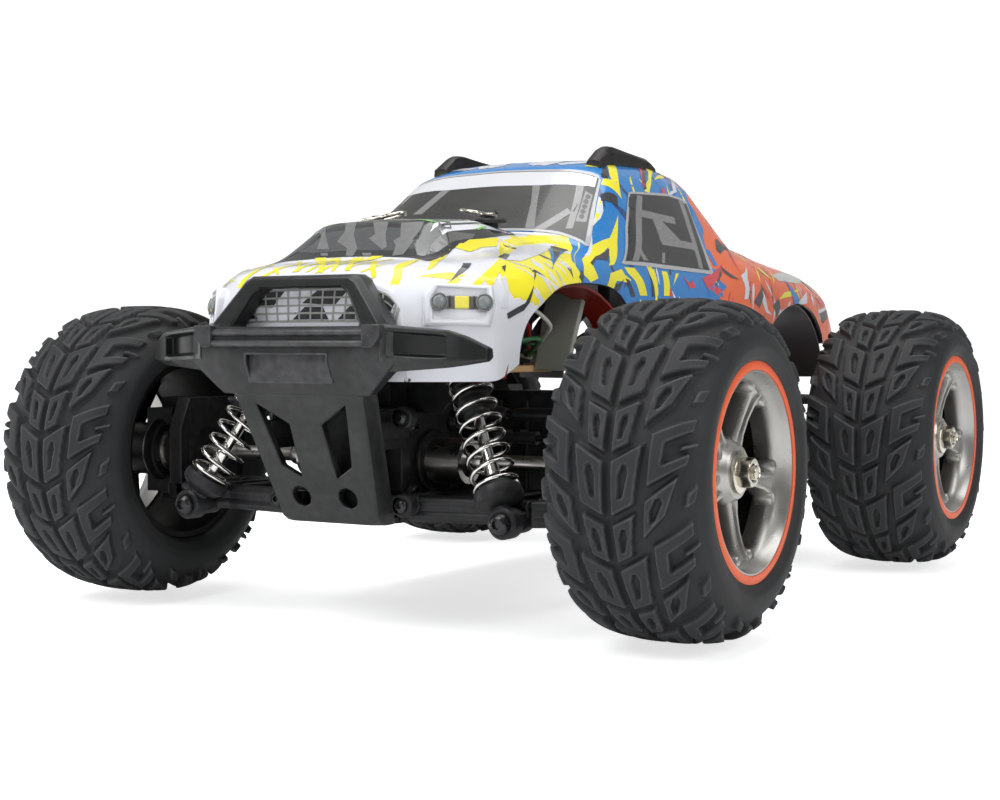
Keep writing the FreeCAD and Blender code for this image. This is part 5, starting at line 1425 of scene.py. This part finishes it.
def build_lamps():
    pod = lamp_loft((POD, -2.5), (POD, 0.2), (shrink(POD, 0.93), 0.9), (shrink(POD, 0.80), 1.0),
                    (shrink(POD, 0.74, 0.6), 0.1))
    strip = lamp_loft((lamp_rect(-8.4, 8.0, 1.9), 0.0), (lamp_rect(-8.2, 7.8, 1.7), 1.0))
    led = lamp_loft((lamp_rect(-2.5, 2.3, 1.8), 0.6), (lamp_rect(-2.3, 2.1, 1.6), 1.4))
    seams = [lamp_loft((lamp_rect(x - 0.2, x + 0.2, 1.85), 0.8),
                       (lamp_rect(x - 0.15, x + 0.15, 1.8), 1.25)) for x in (-4.0, 3.9)]

    def pair(profile):
        return [turned(profile, 32, lamp_point(x, 0, 0.5), tuple(LAMP_OUT)) for x in (-7.4, 7.2)]
    lenses = pair([(0, 2.0), (0.7, 2.0), (1.1, 1.65), (1.4, 1.0), (1.5, 0.25)])
    rims = pair([(0, 2.4), (0.8, 2.4), (1.0, 2.3), (1.0, 2.05), (0.3, 1.95)])
    for side, tag in SIDES:
        for name, parts, material, bevel in (
                ("pod", [pod], "shell_white", 0.35), ("strip", [strip], "scoop_grey", 0.15),
                ("led", [led], "led_yellow", 0.2), ("lens", lenses, "lens_clear", 0),
                ("lens_rim", rims, "cage_print", 0.1), ("seams", seams, "scoop_black", 0)):
            piece("lamp_%s_%s" % (name, tag), parts, material, "root", "trim", bevel=bevel,
                  mirror=side < 0)


build_lamps()

# ------------------------------------------------------------------ body posts and pins
# bent pin: (x towards the outside, y, z) from the post just above its washer
PIN_PATH = ((2.4, -0.5, -0.2), (-3, 0.2, 0.3), (-8.0, 1.2, 1.5), (-9.6, 0.2, 2.0),
            (-8.8, -1.8, 1.9), (-5.4, -2.6, 1.3), (-3, -1.9, 0.9), (-0.4, -3.2, 0.4),
            (3.4, -3.6, 0.1))
for k, (x, y, washer_z, top_z) in enumerate(POSTS):
    foot_z = 75
    height = top_z - foot_z
    up = (0, 0, 1)
    post = [turned([(0, 2.4), (height - 0.6, 2.4), (height, 1.9)], 24, (x, y, foot_z), up),
            turned([(0, 4.2), (3.4, 4.2), (4.2, 3.2), (7, 2.5)], 28, (x, y, 71.6), up),
            turned([(0, 5.0), (0.9, 5.2), (1.3, 4.8), (1.5, 3.6), (1.5, 2.3)], 32,
                   (x, y, washer_z), up)]
    piece("body_post_%d" % k, post, "black_nylon", "root", "deck")
    side = 1 if x > 0 else -1
    path = [(x + side * a, y + b, washer_z + 2.3 + c) for a, b, c in PIN_PATH]
    piece("body_pin_%d" % k, [tube(catmull(path, 8), 0.62, 12)], "nickel", "root", "steel",
          smooth=60)

# ------------------------------------------------------------------ suspension corners
# Built for the left side and mirrored. Along the truck, places are measured from the axle
# towards the middle of the truck.
ARM_HINGE_X, ARM_PIN_Z = 21, 34
HUB_PIN_X = 69
LINK_Z = 58
SHOCK_TOP = (29, -7.4, 78)
SHOCK_FOOT = (53.3, -23.5, 31)
COIL_START, COIL_END, COIL_TURNS = 11.3, 45.4, 8.6      # along the shock
COIL_RADIUS, COIL_WIRE = 5.9, 0.55
COIL_POINTS = 340
CV_BALL = [(-3.9, 1.0), (-3.2, 2.7), (-1.8, 3.8), (0, 4.2), (1.8, 3.8), (3.2, 2.7), (3.8, 2.0)]


def build_corner(corner, side, inward, axle_y):
    along_x, along_y = (1, 0, 0), (0, 1, 0)

    def at(v):
        return axle_y + inward * v

    def add(name, parts, material, body, replaces=None, slot="black_plastic", bevel=0.4, smooth=35):
        return piece(name + "_" + corner, parts, material, body and body + corner, slot, smooth,
                     replaces=replaces and replaces + corner, bevel=bevel, mirror=side < 0)

    def lower_arm():
        waist = (-13.6, 15) if inward > 0 else (-15, 13.6)
        rim = [(x, at(v)) for x, v in ((20, -18), (46, waist[0]), (57, -16.5), (65, -12.4),
                                       (65, 12.4), (46, waist[1]), (20, 18))]
        parts = [sheet(rim, (31.6, 34.6))]
        for a, b in zip(rim, rim[1:] + rim[:1]):        # raised perimeter
            parts.append(tube([(*a, 34.8), (*b, 34.8)], 1.8, 8))
            parts.append(tube([(*a, 31.0), (*b, 31.0)], 1.9, 8))
            edge = np.array([b[0] - a[0], b[1] - a[1]])
            edge = edge / np.linalg.norm(edge)
            w = (-edge[1] * 1.3, edge[0] * 1.3)
            parts.append(loft([[(p[0] - w[0], p[1] - w[1], 30.6), (p[0] + w[0], p[1] + w[1], 30.6),
                                (p[0] + w[0], p[1] + w[1], 35.0), (p[0] - w[0], p[1] - w[1], 35.0)]
                               for p in (a, b)]))
        for xa, va, xb, vb in ((30, -12.4, 44, 9.0), (30, 12.4, 44, -9.0), (44, -12, 44, 12),
                               (56, -10, 48, 11)):      # ribs on the web
            parts.append(tube([(xa, at(va), 35.6), (xb, at(vb), 35.6)], 0.9, 6))
        hinge = (ARM_HINGE_X, axle_y, ARM_PIN_Z)
        parts.append(turned(both_ways([(20.2, 2.0), (20.2, 3.0)]), 24, hinge, along_y))
        parts.append(turned(both_ways([(24.4, 1.45)]), 14, hinge, along_y))
        for a, b in ((9.4, 12.6), (-12.6, -9.4)):       # lugs for the carrier
            ends = sorted((inward * a, inward * b))
            parts.append(turned([(end, 3.2) for end in ends], 24, (HUB_PIN_X, axle_y, ARM_PIN_Z),
                                along_y))
            parts.append(brick((61, HUB_PIN_X), (at(a), at(b)), (32, 36)))
        # finger that reaches to the shock screw
        parts.append(loft([rect((49.5, 57.5), at(-10), (30.2, 35.4)),
                           rect((50.4, 56.2), at(-20.3), (28.6, 33.2))]))
        parts.append(turned([(0, 3.2), (0.4, 3.4), (6.6, 3.4), (7.2, 3.0)], 24,
                            (53.3, at(-20.4), 31), (0, inward, 0)))
        add("arm", parts, "black_nylon", "arm_", "lower_arm_", bevel=0.5)
        add("arm_screw", [turned([(0, 1.9), (6.0, 1.9)], 16, (53.3, at(-26.6), 31), (0, inward, 0)),
                          screw_head((53.3, at(-26.5), 31), (0, -inward, 0), 3.0, 2.0, 1.3)],
            "screw_black", "arm_", slot="steel", bevel=0)

    def upper_link():
        base = (ARM_HINGE_X, at(12), LINK_Z)
        rod = [(3.4, 1.1), (14, 1.1), (14.4, 1.6), (17, 1.9), (31, 1.9), (33.6, 1.6), (34, 1.1),
               (44.6, 1.1)]
        parts = [turned(rod, 20, base, along_x),
                 turned([(2.0, 1.7), (11, 2.0), (12.5, 1.6)], 18, base, along_x),
                 turned([(35.5, 1.6), (37, 2.0), (46.0, 1.7)], 18, base, along_x)]
        for x in (ARM_HINGE_X, HUB_PIN_X):
            parts.append(turned(both_ways([(2.2, 1.2), (2.2, 3.1), (1.7, 3.5)]), 24,
                                (x, at(12), LINK_Z), along_y))
        add("link", parts, "black_nylon", "link_", "upper_link_", bevel=0.25)

    def half_shaft():
        bar = [(0, 2.0), (6, 2.0), (6.6, 3.0), (8, 3.2), (9, 2.9), (9.6, 2.1), (43, 2.1),
               (43.6, 2.9), (45, 3.2), (46.5, 3.0), (47, 2.0), (53, 2.0)]
        outer_ball = [(-a, r) for a, r in CV_BALL[::-1]]
        parts = [turned(profile, 24, (x, axle_y, AXLE_Z), along_x)
                 for profile, x in ((bar, 24), (CV_BALL, 24), (outer_ball, 77))]
        add("drive_bar", parts, "steel", "half_shaft_", "half_shaft_", slot="steel", bevel=0)

    def carrier():
        shape = ((-9, 30.4), (9, 30.4), (13.4, 36), (13.4, 52), (9, 61.4), (-9, 61.4), (-13, 52),
                 (-13, 36))
        parts = [loft([[(x, axle_y + a, z) for a, z in shape] for x in (66.4, 68.0, 71.0)])]
        for z in (33.2, 57.2):
            parts.append(turned([(-2.6, 3.4), (2.6, 3.4)], 22, (77, axle_y, z - 0.2), (0, 0, 1)))
            parts.append(brick((70.5, 78), (axle_y - 4, axle_y + 4), (z - 2.4, z + 2.2)))
        for a in (-9.4, 9.4):
            parts.append(turned([(-1.5, 3.0), (1.5, 3.0)], 18,
                                (HUB_PIN_X, axle_y + a * 0.86, ARM_PIN_Z), along_y))
        for k in range(5):                              # ring of studs
            t = k * 1.2566
            parts.append(turned([(0, 1.6), (1.2, 1.6), (1.5, 1.2)], 14,
                                (71.0, axle_y + 8.6 * math.sin(t), 46 + 8.6 * math.cos(t)),
                                along_x))
        add("carrier", parts, "black_nylon", "carrier_", bevel=0.6)

    def hub():
        """Bearing barrel, on the knuckle in front and on the carrier behind."""
        body = "knuckle_" if inward > 0 else "carrier_"
        centre = (0, axle_y, AXLE_Z)
        width = (axle_y - 3.8, axle_y + 3.8)
        barrel = [(83.5, 3.2), (83.5, 7.4), (84.2, 8.2), (95.4, 8.2), (96.2, 7.6), (96.2, 3.2)]
        collar = [(80.6, 7.0), (80.6, 9.6), (82, 10.2), (84.5, 10.2), (85.2, 9.4), (85.2, 7)]
        parts = [turned(barrel, 40, centre, along_x), turned(collar, 40, centre, along_x),
                 brick((74.4, 88), width, (52.6, 57.8)), brick((74.4, 88), width, (32.2, 37.4))]
        if inward > 0:                                  # steering arm
            parts += [brick((85, 92), (at(3), at(18)), (42, 47.4)),
                      loft([rect((74.6, 90), at(v), (45.2, 47.5)) for v in (13.2, 19)])]
        add("hub", parts, "black_nylon", body, bevel=0.5)
        outer = [(96.1, 2.6), (96.1, 6.6), (96.7, 6.8), (97.2, 6.4), (97.2, 5.4), (96.8, 5.2),
                 (96.8, 3.6), (97.3, 3.4), (97.3, 2.6)]
        inner = [(80.2, 4.9), (80.2, 6.9), (80.9, 7.1), (81.2, 6.6), (81.2, 4.9)]
        add("bearing", [turned(outer, 36, centre, along_x), turned(inner, 36, centre, along_x)],
            "steel", body, slot="steel", bevel=0)

    def shock():
        top, foot = [Vector((x, at(v), z)) for x, v, z in (SHOCK_TOP, SHOCK_FOOT)]
        length = (foot - top).length
        down = (foot - top).normalized()
        pin = Vector((0, 0, 1)).cross(down).normalized()
        turn = frame_of(down)
        parts = [
            turned(both_ways([(2.3, 1.5), (2.3, 3.0), (1.9, 3.5)]), 28, top, pin),
            turned([(1.6, 2.4), (4.2, 2.6), (5.0, 4.0), (5.6, 4.9), (7.6, 4.9), (7.9, 4.6),
                    (21.6, 4.6), (22.0, 4.2), (22.0, 1.5)], 36, top, down),
            turned([(8.0, 4.6), (8.0, 6.5), (8.4, 6.8), (10.2, 6.8), (10.6, 6.5), (10.6, 4.6)],
                   40, top, down),
            turned([(22.0, 1.5), (22.0, 3.7), (23.0, 3.6), (23.4, 3.0), (23.4, 1.5)],
                   28, top, down)]
        for k in range(14):                             # knurls of the collar
            t = k / 14 * 2 * math.pi
            offset = turn @ Vector((6.75 * math.cos(t), 6.75 * math.sin(t), 0))
            parts.append(turned([(8.3, 0.5), (10.3, 0.5)], 8, top + offset, down))
        for k in range(5):                              # rings round the can
            s = 1.9 * k
            parts.append(turned([(11.6 + s, 4.55), (11.8 + s, 4.82), (12.3 + s, 4.82),
                                 (12.5 + s, 4.55)], 30, top, down))
        add("shock_can", parts, "black_nylon", "shock_", "shock_body_", slot="shock", bevel=0)
        sign = 1 if pin.y * inward > 0 else -1
        add("shock_pin", [screw_head(top - pin * (2.4 * sign), -pin * sign, 2.6, 1.6, 1.1)],
            "screw_black", "shock_", slot="steel", bevel=0)
        add("shock_shaft", [turned([(14.0, 1.6), (47.0, 1.6)], 24, top, down),
                            turned([(37.4, 1.6), (37.8, 2.1), (41.6, 2.1), (42.0, 1.6)],
                                   24, top, down)],
            "spring_chrome", "shock_rod_", "shock_rod_", slot="steel", bevel=0)
        cup = [(44.0, 1.6), (44.0, 4.4), (45.9, 4.9), (45.9, 6.5), (47.8, 6.8), (48.9, 6.5),
               (50.6, 4.4), (51.4, 2.3)]
        add("shock_cup", [turned(cup, 36, top, down),
                          turned([(49, 2.6), (length - 3.0, 2.9)], 20, top, down),
                          turned(both_ways([(2.6, 2.3), (2.6, 3.8), (2.1, 4.3)]), 32, foot,
                                 along_y)],
            "black_nylon", "shock_rod_", slot="shock", bevel=0)
        # spring with closed ends
        path = []
        for k in range(COIL_POINTS + 1):
            t = k / COIL_POINTS
            angle = t * COIL_TURNS * 2 * math.pi
            place = np.interp(t, [0, 0.10, 0.90, 1],
                              [COIL_START, COIL_START + 1.1, COIL_END - 1.1, COIL_END])
            path.append(top + turn @ Vector((COIL_RADIUS * math.cos(angle),
                                             COIL_RADIUS * math.sin(angle), place)))
        coil = add("coil", [tube(path, COIL_WIRE, 10)], "spring_chrome", None, "spring_",
                   slot="spring", bevel=0, smooth=60)
        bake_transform(coil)

    lower_arm()
    upper_link()
    half_shaft()
    carrier()
    hub()
    shock()


for corner, (side, inward, axle_y) in CORNERS.items():
    build_corner(corner, side, inward, axle_y)

# ------------------------------------------------------------------ steering links
TIE_X, TIE_Y, TIE_Z = 29, -87, 51
for side, name in ((1, "left"), (-1, "right")):
    parts = [turned(profile, segments, (TIE_X, TIE_Y, TIE_Z), (1, 0, 0)) for profile, segments in (
        ([(4, 1.1), (15, 1.1), (15.4, 1.7), (31, 1.7), (31.4, 1.1), (44, 1.1)], 18),
        ([(2.4, 1.6), (12, 1.9)], 16), ([(36, 1.5), (43.0, 1.3)], 16))]
    for x, eye in ((TIE_X, 3.4), (77, 2.9)):
        parts.append(turned(both_ways([(2.2, 1.3), (2.2, eye - 0.5), (1.6, eye)]), 24,
                            (x, TIE_Y, TIE_Z), (0, 0, 1)))
    piece("tie_" + name, parts, "black_nylon", "tie_" + name, "black_plastic",
          replaces="tie_rod_" + name, mirror=side < 0)

# ------------------------------------------------------------------ gearboxes and towers
CASE_HALF = 14.8
CASE_BOSSES = ((-11, 37), (11, 37), (-11, 55), (11, 55))    # y from the axle, z
TOWER = [(-36.5, 73.5), (-36.5, 80.5), (-33, 82.5), (-22, 82.5), (-12, 76), (12, 76), (22, 82.5),
         (33, 82.5), (36.5, 80.5), (36.5, 73.5), (20, 58), (-20, 58)]


def octagon(x, y, z, cut):
    """Block with its edges along x cut off."""
    y0, y1, z0, z1 = *y, *z
    ring = ((y0 + cut, z0), (y1 - cut, z0), (y1, z0 + cut), (y1, z1 - cut), (y1 - cut, z1),
            (y0 + cut, z1), (y0, z1 - cut), (y0, z0 + cut))
    return loft([[(a, b, c) for b, c in ring] for a in x])


def build_gearbox(name, axle_y, inward):
    def at(v):
        return axle_y + inward * v
    low, high = axle_y - CASE_HALF, axle_y + CASE_HALF
    parts = [octagon((-15, 15), (low, high), (33, 59), 4),
             octagon((-1.2, 1.2), (low - 1.0, high + 1.0), (32, 60.4), 4)]
    for s in (-1, 1):
        out = (s, 0, 0)
        parts.append(turned([(0, 8.6), (1.6, 8.6), (2.0, 7.6)], 36, (s * 15, axle_y, AXLE_Z), out))
        for y, z in CASE_BOSSES:
            parts.append(turned([(0, 2.2), (1.4, 2.2), (1.8, 1.6)], 18, (s * 15, axle_y + y, z),
                                out))
        for z in (34, 58):                              # eyes for the arms and links
            for v in (-22.6, 22.6):
                parts.append(brick((s * 12, s * 21), (at(v - 1.7), at(v + 1.7)),
                                   (z - 2.6, z + 2.6)))
                parts.append(turned([(-1.7, 3.3), (1.7, 3.3)], 22, (s * 21, at(v), z), (0, 1, 0)))
    parts += [brick((-14, 14), (at(-24.4), at(24.4)), (30.6, 33.6)),
              brick((-10, 10), (at(-24.4), at(-21)), (33, 60)),
              brick((-10, 10), (at(21), at(24.4)), (33, 60)),
              brick((-9, 9), (at(-12), at(12)), (59, 69.4)),
              prism(TOWER, (at(-3), at(1)))]
    away = (0, -inward, 0)
    for s in (-1, 1):
        for x, z in ((24, 77), (29, 78), (34, 78)):
            parts.append(turned([(0, 1.9), (0.9, 1.9), (1.2, 1.4)], 16, (s * x, at(-3), z), away))
        parts.append(turned([(0, 1.5), (7.0, 1.5)], 16, (s * 29, at(-3), 78), away))
    piece(name + "_case", parts, "black_nylon", "root", "black_plastic", bevel=0.5,
          bevel_angle=35, replaces=name + "_gearbox")
    screws = []
    for s in (-1, 1):
        for y, z in CASE_BOSSES:
            screws.append(screw_head((s * 16.6, axle_y + y, z), (s, 0, 0), 1.7, 1.0, 0.8))
        for eye_z, cover_z in ((34, 44), (58, 56)):
            screws.append(screw_head((s * 21, at(-24.6), eye_z), away, 1.9, 1.0, 0.8))
            screws.append(screw_head((s * 8, at(-24.4), cover_z), away, 1.9, 1.0, 0.8))
        screws.append(screw_head((s * 14, at(-3.0), 70), away, 2.2, 1.2, 0.9))
    piece(name + "_case_screws", screws, "screw_black", "root", "steel", smooth=40)


build_gearbox("front", FRONT_Y, 1)
build_gearbox("rear", REAR_Y, -1)

# ------------------------------------------------------------------ chassis plate and deck
# outlines in (x, y)
PAN_LEFT = [(12, -127.2), (17, -122), (17, -80), (44, -63), (46, -50), (46, 36), (17, 62),
            (17, 104), (12, 109.3)]
DECK = [(-24, -99), (24, -99), (30, -92), (30, -58), (16, -44), (16, 34), (30, 46), (30, 74),
        (24, 81), (-24, 81), (-30, 74), (-30, 46), (-16, 34), (-16, -44), (-30, -58), (-30, -92)]
DECK_BOTTOM, DECK_TOP = 69.6, 71.6
DECK_SCREWS = ((8, -94), (24, -70), (11, -20), (11, 20), (24, 60), (8, 76))
RIB_PITCH = 14


def build_chassis():
    parts = [brick((43.2, 45.6), (-48, 34), (30, 37)), brick((-45.6, -43.2), (-48, 34), (30, 37)),
             sheet(PAN_LEFT + [(-x, y) for x, y in PAN_LEFT[::-1]], (28.5, 30.5))]
    for k in range(6):
        y = RIB_PITCH * k
        for s in (1, -1):
            parts.append(brick((s * 40.5, s * 43.4), (-44 + y, -42.6 + y), (30.4, 35.5)))
    piece("pan", parts, "chassis_plate", "root", "chassis", smooth=30, bevel=0.4,
          replaces="chassis_plate")
    piece("top_deck", [sheet(DECK, (DECK_BOTTOM, DECK_TOP))], "deck_gold", "root", "deck",
          smooth=30, bevel=0.35, replaces="upper_deck")
    screws = [screw_head((s * x, y, DECK_TOP), (0, 0, 1), 2.3, 1.2, 0.9)
              for x, y in DECK_SCREWS for s in (1, -1)]
    piece("deck_screws", screws, "screw_black", "root", "steel", smooth=40)


build_chassis()


# ------------------------------------------------------------------ under the body
def liner(x, centre, radii, sweep, rises):
    """Thin arch over a wheel.

    x: two sides; centre: y from the front axle and z; radii: along y and z;
    sweep: start and length of the arc in half turns; rises: z of the section's corners.
    """
    rings = []
    for k in range(15):
        angle = math.pi * (sweep[0] + sweep[1] * (k / 14))
        y = FRONT_Y + centre[0] - radii[0] * math.cos(angle)
        z = centre[1] + radii[1] * math.sin(angle)
        rings.append([(a, y, z + rise) for a, rise in zip((x[0], x[1], x[1], x[0]), rises)])
    return loft(rings)


# tub side in (y, z), and inner fender in (y from the front axle, z)
TUB_SIDE = [(-64, 30.4), (44, 30.4), (50, 37), (50, 56), (38, 66), (-50, 66), (-64, 52)]
FENDER = [(-12, 71.8), (60, 71.8), (62, 88), (50, 95), (30, 98), (6, 97), (-8, 90)]
for s, tag in SIDES:
    # leaning bracket: inner x, outer x, y from the front axle, z
    ends = ((30, 41, 33, 70), (31, 44, 39, 93.5))
    bracket = loft([[(s * a, FRONT_Y + y, z), (s * b, FRONT_Y + y, z),
                     (s * b, FRONT_Y + y + 2.5, z), (s * a, FRONT_Y + y + 2.5, z)]
                    for a, b, y, z in ends])
    piece("arch_bracket_" + tag, [bracket], "grey_bracket", "root", "trim", smooth=30, bevel=0.5)
    # sheet over the front wheel: the shell's orange inner side, darkened as painted shade
    arch = liner((s * 40, s * 50.0), centre=(22, 60), radii=(41, 34), sweep=(0.08, 0.84),
                 rises=(0.0, 0.3, 1.1, 1.0))
    piece("arch_shade_liner_" + tag, [arch], "red_inner", "root", "shell", smooth=50)
for s, tag in SIDES:
    parts = [loft([[(s * x, y, z) for y, z in TUB_SIDE] for x in (43.3, 45.2)])]
    for k in range(6):
        y = RIB_PITCH * k
        parts.append(brick((s * 44.6, s * 46.2), (-46 + y, -44.6 + y), (32, 62)))
    parts.append(brick((s * 44.6, s * 46.6), (-50, 38), (63.6, 65.8)))
    piece("tub_wall_" + tag, parts, "black_nylon", "root", "chassis", smooth=30, bevel=0.4)
    # dark sheet over the rear wheel: painted shade where the inside of the shell lies in shadow
    arch = liner((s * 30, s * 49.0), centre=(199, 58.5), radii=(35.5, 33.6), sweep=(0.06, 0.88),
                 rises=(0.0, 0.2, 1.0, 0.9))
    piece("rear_shade_liner_" + tag, [arch], "shell_inside", "root", "shell", smooth=50)
for s, tag in SIDES:
    parts = [loft([[(s * x, FRONT_Y + y, z) for y, z in FENDER] for x in (12.6, 14.0)])]
    for y in (12, 44):
        parts.append(brick((s * 13.6, s * 15.4), (FRONT_Y + y, FRONT_Y + y + 1.4), (72, 94)))
    piece("inner_fender_" + tag, parts, "black_nylon", "root", "chassis", smooth=30, bevel=0.3)
parts = [brick((3, 43.2), (-67.6, -66.2), (30.4, 64)), brick((-43.2, -32), (-67.6, -66.2), (30.4, 64))]
parts += [brick((8 + 9 * k, 9.2 + 9 * k), (-68.6, -67.4), (33, 61)) for k in range(4)]
piece("tub_bulkhead", parts, "black_nylon", "root", "chassis", smooth=30, bevel=0.3)

# wires: material, x where the lead swings forward
LEADS = (("wire_green", 26), ("wire_green", 23), ("wire_white", 23), ("wire_red", 27),
         ("wire_white", 33), ("wire_green", 20))
lead_rng = np.random.default_rng(3)
for k, (material, x) in enumerate(LEADS):
    for s, tag in SIDES:
        path = [(s * (12 + 3 * k), -50, 73.5 + 0.6 * k), (s * (x - 2), -58 - 3 * k, 75 + k),
                (s * (x + 4), -68 - 2 * k, 76 + 2 * k), (s * (x + 8 - k), -82 - 3 * k, 80 + 2 * k),
                (s * (x + 2), -98 - 2 * k, 78 + 2 * k), (s * (27 + 0.6 * k), -116, 82 + k),
                (s * (22 + k), -128, 84 + 0.5 * k)]
        path = [np.array(p) + lead_rng.normal(0, 1.2, 3) for p in path]
        piece("lead_%d_%s" % (k, tag), [tube(catmull(path, 8), 0.65, 8)], material, "root",
              "electronics", smooth=60)

# finishes for the frame's own pieces that stay in view, by the start of their names
FRAME_FINISHES = {
    "hub_carrier": "black_nylon", "knuckle": "black_nylon", "front_diff": "steel",
    "rear_diff": "steel", "centre_shaft": "gear_nylon", "motor_pinion": "pinion_brass",
    "drive_motor": "motor_can", "battery_pack": "battery_wrap",
    "servo_and_receiver": "electronics_case", "steering_rack": "black_nylon",
    "servo_horn": "gear_nylon", "horn": "gear_nylon",
}
for name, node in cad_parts.items():
    for start, material in FRAME_FINISHES.items():
        if name.startswith(start):
            node.data.materials.clear()
            node.data.materials.append(MATERIALS[material])

# ------------------------------------------------------------------ floor, light, camera
VIEW_TURN = 30.25                       # degrees about Z, shared by camera and floor
# floor section in metres: (distance away from the camera, z); it sweeps up behind the truck
FLOOR_SECTION = [(-3.0, 0.0), (0.8, 0.0), (1.4, 0.02), (1.8, 0.12), (2.1, 0.34), (2.3, 0.7),
                 (2.4, 1.2), (2.4, 3.2)]


def brightness(tree, socket, light, camera):
    """Glow with one strength towards the scene and another towards the camera."""
    path = tree.nodes.new("ShaderNodeLightPath")
    node = tree.nodes.new("ShaderNodeMapRange")
    node.inputs["To Min"].default_value = light
    node.inputs["To Max"].default_value = camera
    tree.links.new(path.outputs["Is Camera Ray"], node.inputs["Value"])
    tree.links.new(node.outputs["Result"], socket)


def build_floor():
    mesh = bpy.data.meshes.new("floor")
    cos, sin = math.cos(math.radians(VIEW_TURN)), math.sin(math.radians(VIEW_TURN))
    section = catmull(FLOOR_SECTION, 6)
    verts = [(x * cos - away * sin, x * sin + away * cos, z - 0.0002)
             for away, z in section for x in np.linspace(-4, 4, 9)]
    faces = [(j * 9 + i, j * 9 + i + 1, (j + 1) * 9 + i + 1, (j + 1) * 9 + i)
             for j in range(len(section) - 1) for i in range(8)]
    mesh.from_pydata(verts, [], faces)
    mesh.polygons.foreach_set("use_smooth", [True] * len(mesh.polygons))
    floor = bpy.data.objects.new("studio_floor", mesh)
    bpy.context.scene.collection.objects.link(floor)
    paper = finish("studio_paper", (0.93, 0.935, 0.94), rough=0.6, metal=0, grain=300,
                   grain_bump=0.02, spread=0.012, patch=3, rough_spread=0.05,
                   inputs={"Emission Color": (1, 1, 1, 1)})
    surface = next(n for n in paper.node_tree.nodes if n.type == "BSDF_PRINCIPLED")
    # the paper looks white without flooding the truck from below
    brightness(paper.node_tree, surface.inputs["Emission Strength"], light=0.06, camera=0.68)
    mesh.materials.append(paper)


def build_world():
    world = bpy.data.worlds.new("studio")
    bpy.context.scene.world = world
    world.use_nodes = True
    background = world.node_tree.nodes["Background"]
    background.inputs[0].default_value = (1.0, 1.0, 1.0, 1.0)
    brightness(world.node_tree, background.inputs[1], light=0.20, camera=1.0)
    bpy.context.scene.view_settings.view_transform = "Standard"


def area_light(name, place, aim, size, power, height=None):
    """Square light, or a rectangle when a height is given; metres and watts."""
    light = bpy.data.lights.new(name, "AREA")
    light.shape = "RECTANGLE" if height else "SQUARE"
    light.size = size
    if height:
        light.size_y = height
    light.energy = power
    light.color = (1, 1, 1)
    made = bpy.data.objects.new(name, light)
    bpy.context.scene.collection.objects.link(made)
    made.location = place
    made.rotation_euler = (Vector(aim) - Vector(place)).to_track_quat("-Z", "Y").to_euler()


def build_camera():
    camera = bpy.data.cameras.new("photo_camera")
    camera.lens = 60.79
    camera.sensor_width = 36.0
    camera.clip_start = 0.01
    camera.clip_end = 50
    made = bpy.data.objects.new("photo_camera", camera)
    bpy.context.scene.collection.objects.link(made)
    made.location = (0.2744, -0.5086, 0.0781)
    made.rotation_euler = (math.radians(88.08), 0.0, math.radians(VIEW_TURN))
    bpy.context.scene.camera = made


build_floor()
build_world()
area_light("key", (-0.35, -0.9, 1.15), aim=(0, -0.03, 0.06), size=0.9, power=12.0)
area_light("fill_right", (1.1, -0.25, 0.7), aim=(0, 0, 0.06), size=0.8, power=5.6)
area_light("top", (0.0, 0.1, 1.3), aim=(0, 0, 0.06), size=1.1, power=9.6)
area_light("low_front", (0.05, -1.0, 0.16), aim=(0, 0, 0.05), size=0.7, power=0.7, height=0.3)
area_light("strip_left", (-1.25, -0.45, 0.28), aim=(0, -0.1, 0.07), size=0.35, power=3.2,
           height=0.7)
build_camera()

bpy.context.view_layer.update()
